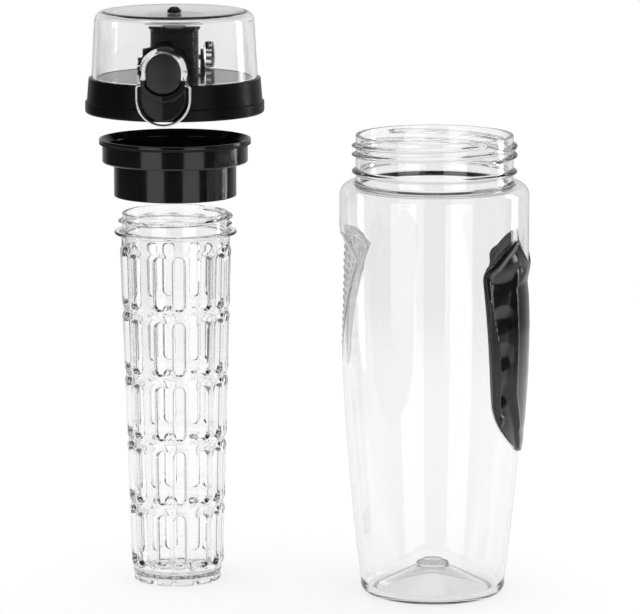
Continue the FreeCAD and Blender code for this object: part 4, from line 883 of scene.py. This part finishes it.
def rod_outside(z):
    """Radius of the rod outside, with its raised bands."""
    z = np.asarray(z, float)
    band = sum(smooth(z, top - SLOT_LENGTH - BAND_FADE, top - SLOT_LENGTH)
               * (1 - smooth(z, top, top + BAND_FADE)) for top in ROW_TOPS)
    flare = (ROD_SHOULDER - ROD_HEEL) * (z - FOOT_TOP) / (FLANGE_LOW - FOOT_TOP)
    return ROD_HEEL + flare + BAND_RISE * band


def rod_inside(z):
    """Radius of the rod inside."""
    part = (np.asarray(z, float) - FLOOR_TOP) / (FLANGE_LOW - FLOOR_TOP)
    return FLOOR_BORE + (ROD_BORE - FLOOR_BORE) * part


def slot_loop(top, grow):
    """Outline of a slot (across, height), grown a little: upper round, left side, lower round, right side."""
    reach = SLOT_HALF + grow
    high, low = top - SLOT_HALF, top - SLOT_LENGTH + SLOT_HALF
    turn = np.radians(np.linspace(0, 180, SLOT_ROUND))
    sides = np.linspace(high, low, SLOT_SIDE + 2)[1:-1]
    straight = np.full(SLOT_SIDE, reach)
    across = np.concatenate([reach * np.cos(turn), -straight, -reach * np.cos(turn), straight])
    height = np.concatenate([high + reach * np.sin(turn), sides, low - reach * np.sin(turn), sides[::-1]])
    return across, height


def tile_loop(top):
    """Outline of the tile around a slot (angle, height), point for point with the slot's."""
    high, low = top + ROW_GAP, top - SLOT_LENGTH - ROW_GAP
    sides = list(np.linspace(high - TILE_CUT, low + TILE_CUT, SLOT_SIDE + 2)[1:-1])
    steps = [TILE * i / TILE_STEPS for i in range(TILE_STEPS + 1)]
    angle = [TILE] * 2 + steps[::-1] + [0] * (SLOT_SIDE + 4) + steps + [TILE] * (SLOT_SIDE + 2)
    falling = [high - TILE_CORNER, high - TILE_CUT] + sides + [low + TILE_CUT, low + TILE_CORNER]
    rising = falling[::-1]
    height = rising[-2:] + [high] * len(steps) + falling + [low] * len(steps) + rising[:-2]
    return np.array(angle), np.array(height)


def slot_tile(top):
    """Loops (angle, height, radius) of the wall around one slot: outside, round the edges, inside."""
    frame_angle, frame_height = tile_loop(top)

    def slot_at(grow, radius):
        across, height = slot_loop(top, grow)
        reach = radius(height)
        return SLOT_TURN + np.degrees(np.arcsin(across / reach)), height, reach

    def wall(surface, draft, support, shares):
        near = slot_at(draft + support, surface)
        made = [(frame_angle, frame_height, surface(frame_height))]
        for part in shares:
            angle = near[0] + (frame_angle - near[0]) * part
            height = near[1] + (frame_height - near[1]) * part
            made.append((angle, height, surface(height)))
        return made + [near]

    def edge(surface, draft, radius, sign):
        made = []
        for turn in np.radians((0, 30, 60, 90)):
            drop = sign * radius * (1 - math.cos(turn))
            grow = draft + radius * (1 - math.sin(turn))
            made.append(slot_at(grow, lambda z, drop=drop: surface(z) + drop))
        return made

    outside = wall(rod_outside, SLOT_DRAFT, 0.65, (0.7, 0.4, 0.16)) + edge(rod_outside, SLOT_DRAFT, 0.5, -1)
    inside = wall(rod_inside, -SLOT_DRAFT, 0.5, (0.6, 0.25)) + edge(rod_inside, -SLOT_DRAFT, 0.4, 1)
    return outside + inside[::-1]


def rod_tiles():
    """All the slotted wall, mirrored in pairs."""
    parts = []
    for top in ROW_TOPS:
        loops = slot_tile(top)
        for pair in range(PAIRS):
            for sign in (-1, 1):
                parts.append(bridge([
                    round_stack(radius, np.radians(ROD_FRONT + 2 * TILE * pair + sign * angle), height)
                    for angle, height, radius in loops]))
    return parts


def rod_neck():
    """Plain wall above the slots, flange, threaded neck and rim."""
    low = ROW_TOPS[0] + ROW_GAP
    wall = [(ROD_NECK, float(z), 0) for z in np.arange(FLANGE_TOP + 1, ROD_TOP - 1.2, 0.33)]
    rows = soften([(float(rod_outside(low)), low, 0), (float(rod_outside(FLANGE_LOW)), FLANGE_LOW, 0.9),
                   (FLANGE, FLANGE_LOW, 0.4), (FLANGE, FLANGE_TOP, 0.5), (ROD_NECK, FLANGE_TOP, 0.6), *wall,
                   (ROD_NECK, ROD_TOP, 0.7), (ROD_BORE, ROD_TOP, 0.7), (ROD_BORE, FLANGE_LOW + 0.3, 3.0),
                   (float(rod_inside(low)), low, 0)])
    angles = np.radians(ROD_FRONT) + even(ROD_COLUMNS)

    def shape(i, radius, height, x, y, z):
        if abs(radius - ROD_NECK) > SAME:
            return x, y, z
        rise = thread(angles, height, ROD_THREAD_Z, ROD_LEAD, ROD_TURNS, (0,), 0.9, 0.3)
        reach = radius + (ROD_CREST - ROD_NECK) * rise
        return reach * np.cos(angles), reach * np.sin(angles), z

    return lathe(rows, angles, shape=shape, at=(*STACK, 0))


def hole_places():
    """Centres of the strainer's holes about its axis."""
    return [np.array([reach * math.cos(turn), reach * math.sin(turn)])
            for count, reach in HOLE_RINGS for turn in even(count)]


def strainer(height, angles):
    """Flat face of the strainer floor around its holes."""
    rim = np.column_stack([FLOOR_EDGE * np.cos(angles), FLOOR_EDGE * np.sin(angles)])
    turn = even(HOLE_POINTS)
    ring = np.column_stack([np.cos(turn), np.sin(turn)]) * (HOLE + HOLE_BEVEL)
    centres = hole_places()
    points, edges = [], []
    for loop in [rim] + [centre + ring for centre in centres]:
        start = len(points)
        points += [Vector(point) for point in loop]
        edges += [(start + k, start + (k + 1) % len(loop)) for k in range(len(loop))]
    flat, _, faces = delaunay_2d_cdt(points, edges, [], 0, SAME)[:3]
    kept = []
    for face in faces:
        middle = np.mean([flat[i] for i in face], axis=0)
        if all(np.linalg.norm(middle - centre) > HOLE + 0.2 for centre in centres):
            kept.append(tuple(face))
    return [(p.x + STACK[0], p.y + STACK[1], height) for p in flat], kept


def rod_foot():
    """Wall below the slots, notched foot and strainer floor with its holes."""
    low = ROW_TOPS[-1] - SLOT_LENGTH - ROW_GAP
    plain = np.radians(ROD_FRONT) + even(ROD_COLUMNS)
    spacing = 360 / NOTCH_COUNT
    turns = [ROD_FRONT + spacing * k + turn for k in range(NOTCH_COUNT) for turn in NOTCH_COLUMNS]
    notched = np.radians(turns) + math.radians(360 / ROD_COLUMNS) / 2
    start = int(np.argmin(np.abs((plain - notched[0] + math.pi) % TAU - math.pi)))
    notched = np.roll(notched, start)
    in_notch = np.roll(np.tile([abs(turn) <= NOTCH_TURN for turn in NOTCH_COLUMNS], NOTCH_COUNT), start)
    rows = [(float(rod_outside(low)), low), (20.58, 5.2), (20.5, 4.3)]
    foot = [(FOOT_OUT, 3.4), (FOOT_OUT, 2.0), (FOOT_OUT, 0.35), (FOOT_OUT - FOOT_BEVEL, 0),
            (FOOT_IN + FOOT_BEVEL, 0), (FOOT_IN, 0.35), (FOOT_IN, 2.0), (FOOT_IN, 2.6), (17.9, FLOOR_LOW),
            (FLOOR_EDGE, FLOOR_LOW)]
    loops = [round_stack(radius, plain, np.full(len(plain), height)) for radius, height in rows]
    loops += [round_stack(radius, notched, np.where(in_notch, max(height, NOTCH_TOP), height))
              for radius, height in foot]
    inner = [(float(rod_inside(low)), low), (FLOOR_BORE, 5.2), (18.8, 4.75), (18.5, FLOOR_TOP),
             (FLOOR_EDGE, FLOOR_TOP)]
    parts = [bridge(loops), lathe(inner, plain, at=(*STACK, 0)), strainer(FLOOR_LOW, notched),
             strainer(FLOOR_TOP, plain)]
    wide, mid = HOLE + HOLE_BEVEL, 0.08
    wall = [(wide, FLOOR_TOP), (HOLE + mid, FLOOR_TOP - mid), (HOLE, FLOOR_TOP - HOLE_BEVEL),
            (HOLE, FLOOR_LOW + HOLE_BEVEL), (HOLE + mid, FLOOR_LOW + mid), (wide, FLOOR_LOW)]
    return parts + [lathe(wall, even(HOLE_POINTS), at=(*(centre + STACK), 0)) for centre in hole_places()]


class INFUSER_OT_rod(bpy.types.Operator):
    """Build the slotted rod with its threaded neck, flange, notched foot and strainer"""
    bl_idname = "infuser.rod"
    bl_label = "Slotted rod"

    def execute(self, context):
        make_piece("slotted_rod", rod_tiles() + [rod_neck()] + rod_foot(), "clear_rod", "infuser",
                   "infuser_rod", EDGE_SHARP)
        return {"FINISHED"}


# Ring and lid

RING_BORE, RING_CREST, RING_WAIST, RING_BODY, RING_LIP = 26.6, 24.7, 28.1, 33.4, 34.8
RING_MOUTH, RING_INSIDE = 33.8, 31.9
RING_STEP, RING_FLOOR, LIP_LOW, RING_TOP = 15.5, 17.0, 24.9, 26.5
RING_COLUMNS, CAP_COLUMNS, SPOUT_COLUMNS, HEAD_COLUMNS = 144, 160, 96, 48
SKIRT_BORE, SKIRT_CREST, SKIRT_FOOT, SKIRT_SIDE, SKIRT_TOP = 37.9, 36.1, 41.0, 40.2, 39.3
SKIRT_STEP = 5.3
RING_THREAD_Z, SKIRT_THREAD_Z = 4.4, 3.1
DECK, DECK_UNDER, DECK_HOLE, DECK_EDGE = 16.1, 14.1, 9.02, 0.3
SPOUT_BORE, SPOUT_ROOT, SPOUT_TUBE, SPOUT_LIP, SPOUT_TOP = 6.0, 9.0, 11.0, 11.9, 39.5
PLUG_DISC, PLUG_NECK, PLUG_LOW, PLUG_TOP = 13.5, 2.4, 41.85, 43.15
HEAD, HEAD_LOW, HEAD_TOP = 3.2, 45.45, 48.15
EAR_PLACES = ((-10.5, -7.9), (7.9, 10.5))
EAR_PIN, EAR_RADIUS = (42.5, 20.5), 4.0
EAR_OUTLINE = [(SKIRT_BORE, DECK), (SKIRT_BORE, 6.0)] + arc3((45.9, 18.4), (46.5, 20.5), (42.5, 24.5), 8)[:-1]
EAR_OUTLINE += swing(EAR_PIN, EAR_RADIUS, 90, 180, 5)


def turned(corners, count, at, shape=None):
    """A closed ring or, where it starts on the axis, a closed solid turned about the stack's axis."""
    hollow = corners[0][0] > 0
    return lathe(soften(corners, closed=hollow), even(count), closed=hollow, shape=shape, at=(*STACK, at))


def inner_thread(angles, bore, crest, *threads):
    """Shape of a lathe whose rows at the bore carry threads that stand inwards."""

    def shape(i, radius, height, x, y, z):
        if abs(radius - bore) > SAME:
            return x, y, z
        reach = radius - (bore - crest) * thread(angles, height, *threads)
        return reach * np.cos(angles), reach * np.sin(angles), z

    return shape


class INFUSER_OT_ring(bpy.types.Operator):
    """Build the stepped adapter ring with its inner thread"""
    bl_idname = "infuser.ring"
    bl_label = "Adapter ring"

    def execute(self, context):
        wall = [(RING_BORE, float(z), 0) for z in np.arange(RING_FLOOR - 1.2, 1.2, -0.4)]
        corners = [(RING_BORE, 0, 0.3), (RING_WAIST, 0, 0.4), (RING_WAIST, RING_STEP, 0.35),
                   (RING_BODY, RING_STEP, 0.9), (RING_BODY, LIP_LOW, 0.25), (RING_LIP, LIP_LOW, 0.3),
                   (RING_LIP, RING_TOP, 0.35), (RING_MOUTH, RING_TOP, 0.35), (RING_INSIDE, 23.4, 1.0),
                   (RING_INSIDE, RING_FLOOR, 0.6), (RING_BORE, RING_FLOOR, 0.5), *wall]
        shape = inner_thread(even(RING_COLUMNS), RING_BORE, RING_CREST, RING_THREAD_Z, ROD_LEAD, ROD_TURNS,
                             (0,), 0.9, 0.35)
        make_piece("adapter_ring_shell", [turned(corners, RING_COLUMNS, RING_Z, shape)], "gloss_black",
                   "ring", "adapter_ring")
        return {"FINISHED"}


class INFUSER_OT_cap(bpy.types.Operator):
    """Build the cap with skirt, polished deck, inner thread and hinge ears, and the spout, plug and head"""
    bl_idname = "infuser.cap"
    bl_label = "Cap, spout and plug"

    def execute(self, context):
        wall = [(SKIRT_BORE, float(z), 0) for z in np.arange(DECK_UNDER - 0.9, 1.2, -0.45)]
        corners = [(SKIRT_BORE, 0, 0.4), (SKIRT_FOOT, 0, 1.1), (SKIRT_FOOT, SKIRT_STEP, 0.6),
                   (SKIRT_SIDE, SKIRT_STEP, 0.4), (SKIRT_TOP, DECK, 0.5), (DECK_HOLE, DECK, 0.2),
                   (DECK_HOLE, DECK_UNDER, 0.2), (SKIRT_BORE, DECK_UNDER, 0.5), *wall]
        shape = inner_thread(even(CAP_COLUMNS), SKIRT_BORE, SKIRT_CREST, SKIRT_THREAD_Z,
                             THREAD_LEAD, 1, THREAD_STARTS)
        parts = [turned(corners, CAP_COLUMNS, LID_Z, shape)]
        for low, high in EAR_PLACES:
            parts.append(slab(EAR_OUTLINE, low, high, 0.3, lambda u, depth, z: np.column_stack(
                [STACK[0] + depth, STACK[1] + u, LID_Z + z])))
        make_piece("cap_shell", parts, "cap_black", "lid", "lid_cap", EDGE_SHARP)
        root = 12.6
        spout = [(SPOUT_BORE, root, 0.2), (SPOUT_ROOT, root, 0.2), (SPOUT_ROOT, DECK, 0.2),
                 (SPOUT_TUBE, DECK, 0.2), (SPOUT_TUBE, 37.5, 0.5), (SPOUT_LIP, 38.4, 0.3),
                 (SPOUT_LIP, SPOUT_TOP, 0.5), (SPOUT_BORE, SPOUT_TOP, 0.7)]
        make_piece("spout_tube", [turned(spout, SPOUT_COLUMNS, LID_Z)], "spout_black", "lid",
                   "spout")
        plug = [(0, 36.5, 0), (3.8, 36.5, 0.7), (5.6, PLUG_LOW, 0.5), (PLUG_DISC, PLUG_LOW, 0.35),
                (PLUG_DISC, PLUG_TOP, 0.35), (PLUG_NECK, PLUG_TOP, 0.2), (PLUG_NECK, HEAD_LOW, 0.2),
                (0, HEAD_LOW, 0)]
        make_piece("soft_plug", [turned(plug, SPOUT_COLUMNS, LID_Z)], "milky_plug", "cover",
                   "spout_plug")
        head = [(0, HEAD_LOW, 0), (HEAD, HEAD_LOW, 0.3), (HEAD, 46.6, 0.9), (HEAD / 2, HEAD_TOP, 1.2),
                (0, HEAD_TOP, 0)]
        make_piece("plug_head", [turned(head, HEAD_COLUMNS, LID_Z)], "latch_black", "cover",
                   "plug_cap")
        return {"FINISHED"}


# Latch

LATCH_POINTS = 97
LATCH_HALF, LATCH_TOP, LATCH_BACK, LATCH_FRONT = 10.15, 19.0, 38.6, 43.95
SEAT_HALF, SEAT_Z = 8.1, 16.7
CREASE, LATCH_LIP, LATCH_LIP_Z, LATCH_LIP_BOW = 0.12, 0.75, 9.35, 0.055
PLATE_BACK, PLATE_FRONT = 38.3, 39.7
BUTTON_HALF, BUTTON_BACK, BUTTON_FRONT, BUTTON_CROWN, CROWN_RUN = 7.9, 41.8, 43.4, 1.3, 7.5


def on_front(u, depth, z):
    """Points in front of the stack's axis at a depth."""
    return np.column_stack([STACK[0] + u, STACK[1] - depth, LID_Z + z])


def even_path(path, count):
    """Points at equal steps along a polyline."""
    path = np.array(path)
    run = np.concatenate([[0], np.cumsum(np.linalg.norm(np.diff(path, axis=0), axis=1))])
    at = np.linspace(0, run[-1], count)
    return np.column_stack([np.interp(at, run, path[:, k]) for k in (0, 1)])


def button_outline(grow=0.0):
    half = BUTTON_HALF + grow
    right = [(half, 23.2), (half, 17.8), (half - 0.15, 17.0), (half - 0.6, 16.45 - grow)]
    return mirrored(right, 31.1 + grow, 12.7 - grow, 0.6, 30)


def shield():
    """Vertices and faces of the shield below the button, with its lip and its crease."""
    bottom = arc3((-LATCH_HALF, 10.8), (0, 0.65), (LATCH_HALF, 10.8), 48)
    outside = dense([(-LATCH_HALF, LATCH_TOP)] + bottom + [(LATCH_HALF, LATCH_TOP)], 0.75)
    under = arc3((-SEAT_HALF, SEAT_Z), (0, 12.3), (SEAT_HALF, SEAT_Z), 40)
    inside = dense([(-SEAT_HALF, LATCH_TOP)] + under + [(SEAT_HALF, LATCH_TOP)], 0.5)
    outer, inner = even_path(outside, LATCH_POINTS), even_path(inside, LATCH_POINTS)
    width = np.linalg.norm(inner - outer, axis=1)
    far = np.full(LATCH_POINTS, LATCH_BACK)
    loops = [on_front(outer[:, 0], far, outer[:, 1])]
    for t in np.concatenate([np.linspace(0, 0.12, 8), np.linspace(0.16, 0.94, 26), np.linspace(0.96, 1, 5)]):
        x, z = (outer + (inner - outer) * t).T
        lip = LATCH_LIP * smooth(z - LATCH_LIP_Z - LATCH_LIP_BOW * x * x, -0.3, 0.35)
        edges = rounding(width * t, 0.8) + rounding(width * (1 - t), 0.3)
        loops.append(on_front(x, LATCH_FRONT - CREASE * np.abs(x) + lip - edges, z))
    loops.append(on_front(inner[:, 0], far, inner[:, 1]))
    verts, faces = bridge(loops + [loops[0]], closed=False)
    for end in (0, LATCH_POINTS - 1):
        faces.append(tuple(i * LATCH_POINTS + end for i in range(len(loops))))
    return verts, faces


class INFUSER_OT_latch(bpy.types.Operator):
    """Build the shield with its lip and crease, the plate behind the button and the pillow shaped button"""
    bl_idname = "infuser.latch"
    bl_label = "Latch"

    def execute(self, context):
        plate = slab(button_outline(-0.1), PLATE_BACK, PLATE_FRONT, 0.25, on_front)
        make_piece("latch_shield", [shield(), plate], "latch_black", "lid", "latch_housing",
                   EDGE_SHARP)

        def face(x, z, depth):
            crown = BUTTON_CROWN * (1 - (1 - np.clip(depth / CROWN_RUN, 0, 1)) ** 2)
            return on_front(x, BUTTON_FRONT + crown - rounding(depth, 0.9), z)

        def back(x, z, depth):
            return on_front(x, np.full(len(x), BUTTON_BACK), z)

        steps = (0, 0.1, 0.22, 0.38, 0.58, 0.8, 1.05, 1.4, 2)
        pillow = star(button_outline(), (19, 23.2), steps, 10, face, (0,), 2, back)
        make_piece("latch_button", [pillow], "button_black", "button", "push_button")
        return {"FINISHED"}


class INFUSER_OT_small(bpy.types.Operator):
    """Copy the pieces whose frame shape is right: cover, wire, pin, coils and seals"""
    bl_idname = "infuser.small_pieces"
    bl_label = "Cover, wire and small pieces"

    def execute(self, context):
        rows = (
            ("ring_seal", "seal_under_lip", "dark_seal", "ring_carrier", "seal_rubber"),
            ("lid_gasket", "cap_gasket", "seal_rubber", "lid", "seal_rubber"),
            ("button_spring", "button_coil", "spring_steel", "lid", "spring_steel"),
            ("wire_lock", "wire_loop", "bright_steel", "wire", "bright_steel"),
            ("dome_cover", "flip_cover", "clear_cover", "cover", "clear_plastic"),
            ("hinge_pin", "hinge_rod", "bright_steel", "lid", "bright_steel"),
            ("hinge_spring", "hinge_coil", "spring_steel", "lid", "spring_steel"),
        )
        for row in rows:
            copy_piece(*row)
        return {"FINISHED"}


# Stage

AIM_X = -0.052
WINDOW_TURNS = (("window_left", -33), ("window_right", 35))
WINDOW_REACH, WINDOW_HEIGHT, WINDOW_SIZE = 1.45, 0.15, (0.85, 1.1)
EDGE_PLACE, EDGE_AIM, EDGE_SIZE = (0.883, 0.47, 0.35), (0, 0, 0.12), (0.22, 0.8)
TOP_PLACE, TOP_AIM, TOP_SIZE = (AIM_X, 0.25, 1.5), (AIM_X, 0, 0.1), (1.2, 0.9)
FLOOR_CENTRE, FLOOR_DROP, FLOOR_FADE, FLOOR_REACH = (-50, 60), -0.25, 420, 800
FLOOR_GREY, FLOOR_GLOW = 0.42, 0.56
SIDE_FLAGS = ((0.25, 0.85), (0.30, 0.38), (0.37, 0.38), (0.40, 1.0), (0.60, 1.0), (0.63, 0.5), (0.70, 0.5),
              (0.75, 0.85))
DIM_FRONT = ((0.18, 0.20), (0.42, 0.58), (0.54, 1.0))
DIM_TOP = ((0.60, 1.0), (0.75, 0.6))
PALE_WALL = ((0.30, 0.03), (0.78, 0.06), (0.97, 0.5))


def turn_to(thing, place, aim):
    """Put a lamp or a camera in its place and turn it to what it looks at."""
    thing.location = place
    thing.rotation_euler = (Vector(aim) - Vector(place)).to_track_quat("-Z", "Y").to_euler()
    bpy.context.scene.collection.objects.link(thing)


def area_lamp(name, place, aim, size, watts):
    data = bpy.data.lights.new(name, "AREA")
    data.shape = "RECTANGLE"
    data.size, data.size_y = size
    data.energy = watts
    lamp = bpy.data.objects.new(name, data)
    lamp.visible_camera = False
    turn_to(lamp, place, aim)
    return lamp


def keep_off(lamp, piece):
    """Let a lamp pass a piece by, so that it leaves no mirror image on it."""
    passed = bpy.data.collections.new(lamp.name + "_passes")
    passed.objects.link(piece)
    passed.collection_objects[0].light_linking.link_state = "EXCLUDE"
    lamp.light_linking.receiver_collection = passed


def ramp(tree, source, stops):
    """A colour ramp of greys: (place, grey) stops."""
    node = add(tree, "ValToRGB", Fac=source)
    elements = node.color_ramp.elements
    while len(elements) < len(stops):
        elements.new(0.5)
    for element, (place, grey) in zip(elements, stops):
        element.position = place
        element.color = (grey, grey, grey, 1)
    return node.outputs["Color"]


def ray_kinds(tree):
    """The kinds of ray, and whether a ray shows the surroundings, straight or in gloss or glass."""
    rays = add(tree, "LightPath").outputs
    mirrored_or_through = maths(tree, "MAXIMUM", rays["Is Glossy Ray"], rays["Is Transmission Ray"])
    return rays, maths(tree, "MAXIMUM", rays["Is Camera Ray"], mirrored_or_through)


def studio_world(fill):
    """White to the eye; glass sees a tent with flags and a dim front, polish a dim room and a pale wall."""
    world = bpy.data.worlds.new("studio")
    bpy.context.scene.world = world
    world.use_nodes = True
    tree = world.node_tree
    tree.nodes.clear()
    x, y, z = add(tree, "SeparateXYZ", add(tree, "TexCoord").outputs["Generated"]).outputs
    around = maths(tree, "MULTIPLY_ADD", maths(tree, "ARCTAN2", x, y), 1 / TAU, 0.5)
    ahead, above = [maths(tree, "MULTIPLY_ADD", axis, 0.5, 0.5) for axis in (y, z)]
    dimmed = maths(tree, "MULTIPLY", ramp(tree, ahead, DIM_FRONT), ramp(tree, above, DIM_TOP))
    through = maths(tree, "MULTIPLY", ramp(tree, around, SIDE_FLAGS), dimmed)
    rays, shown = ray_kinds(tree)
    bent = mix_colours(tree, rays["Is Transmission Ray"], ramp(tree, ahead, PALE_WALL), through)
    seen = mix_colours(tree, rays["Is Camera Ray"], bent, WHITE)
    light = mix_colours(tree, shown, (fill, fill, fill, 1), seen)
    background = add(tree, "Background", Color=light, Strength=1.0)
    add(tree, "OutputWorld", Surface=background.outputs["Background"])


def pale_floor():
    """A white disc that keeps the shadows and fades into the white around it."""
    rows = [(0, 0), (FLOOR_REACH / 2, 0), (FLOOR_REACH, 0)]
    verts, faces = lathe(rows, even(96), at=(*FLOOR_CENTRE, FLOOR_DROP))
    mesh = bpy.data.meshes.new("pale_floor")
    mesh.from_pydata([(x * MM, y * MM, z * MM) for x, y, z in verts], [], faces)
    material, tree = node_tree("pale_floor")
    centre = (-FLOOR_CENTRE[0] * MM, -FLOOR_CENTRE[1] * MM, 0)
    place = add(tree, "Mapping", Vector=add(tree, "TexCoord").outputs["Object"], Location=centre)
    away = add(tree, "VectorMath", place.outputs["Vector"])
    away.operation = "LENGTH"
    fade = add(tree, "MapRange", Value=away.outputs["Value"], From_Min=FLOOR_FADE * MM,
               From_Max=FLOOR_REACH * MM, To_Min=0.0, To_Max=1.0)
    fade.interpolation_type = "SMOOTHSTEP"
    paper = add(tree, "BsdfDiffuse", Color=(FLOOR_GREY, FLOOR_GREY, FLOOR_GREY, 1))
    shown = ray_kinds(tree)[1]
    glow = add(tree, "Emission", Color=WHITE, Strength=maths(tree, "MULTIPLY", shown, FLOOR_GLOW))
    both = add(tree, "AddShader", paper.outputs["BSDF"], glow.outputs["Emission"])
    clear = add(tree, "BsdfTransparent")
    surface = add(tree, "MixShader", fade.outputs["Result"], both.outputs["Shader"], clear.outputs["BSDF"])
    mesh.materials.append(show(material, surface.outputs["Shader"]))
    floor = bpy.data.objects.new("pale_floor", mesh)
    bpy.context.scene.collection.objects.link(floor)


class INFUSER_OT_stage(bpy.types.Operator):
    """Set the camera, the window, edge and top lamps, the white surroundings and the pale floor"""
    bl_idname = "infuser.stage"
    bl_label = "Stage"

    def execute(self, context):
        stage = context.scene.infuser_stage
        data = bpy.data.cameras.new("camera")
        data.sensor_width = 36
        data.lens = stage.focal
        data.clip_end = 50
        camera = bpy.data.objects.new("camera", data)
        turn_to(camera, (stage.aside, -stage.distance, stage.height), (AIM_X, 0, stage.aim_height))
        context.scene.camera = camera
        for name, degrees in WINDOW_TURNS:
            turn = math.radians(degrees)
            place = (AIM_X + WINDOW_REACH * math.sin(turn), -WINDOW_REACH * math.cos(turn), WINDOW_HEIGHT)
            lamp = area_lamp(name, place, (AIM_X, 0, WINDOW_HEIGHT), WINDOW_SIZE, stage.window_light)
            keep_off(lamp, bpy.data.objects["flip_cover"])
        area_lamp("edge_right", EDGE_PLACE, EDGE_AIM, EDGE_SIZE, stage.edge_light)
        area_lamp("top_soft", TOP_PLACE, TOP_AIM, TOP_SIZE, stage.top_light)
        studio_world(stage.fill)
        pale_floor()
        context.scene.view_settings.view_transform = "Standard"
        return {"FINISHED"}


class INFUSER_PT_panel(bpy.types.Panel):
    """Lists the steps that build the bottle"""
    bl_idname = "INFUSER_PT_panel"
    bl_label = "Fruit infuser bottle"
    bl_space_type = "VIEW_3D"
    bl_region_type = "UI"
    bl_category = "Infuser"

    def draw(self, context):
        for step in STEPS:
            self.layout.operator(step.bl_idname)


STEPS = (
    INFUSER_OT_bottle,
    INFUSER_OT_finger_pad,
    INFUSER_OT_thumb_pad,
    INFUSER_OT_rod,
    INFUSER_OT_ring,
    INFUSER_OT_cap,
    INFUSER_OT_latch,
    INFUSER_OT_small,
    INFUSER_OT_stage,
)
GROUPS = (
    ("infuser_finishes", InfuserFinishes),
    ("infuser_grips", InfuserGrips),
    ("infuser_stage", InfuserStage),
)


def register():
    for name, group in GROUPS:
        bpy.utils.register_class(group)
        setattr(bpy.types.Scene, name, PointerProperty(type=group))
    for item in STEPS + (INFUSER_PT_panel,):
        bpy.utils.register_class(item)


def unregister():
    for item in reversed(STEPS + (INFUSER_PT_panel,)):
        bpy.utils.unregister_class(item)
    for name, group in reversed(GROUPS):
        delattr(bpy.types.Scene, name)
        bpy.utils.unregister_class(group)


def main():
    register()
    bpy.ops.infuser.bottle()
    bpy.ops.infuser.finger_pad()
    bpy.ops.infuser.thumb_pad()
    bpy.ops.infuser.rod()
    bpy.ops.infuser.ring()
    bpy.ops.infuser.cap()
    bpy.ops.infuser.latch()
    bpy.ops.infuser.small_pieces()
    bpy.ops.infuser.stage()


if __name__ == "__main__":
    main()
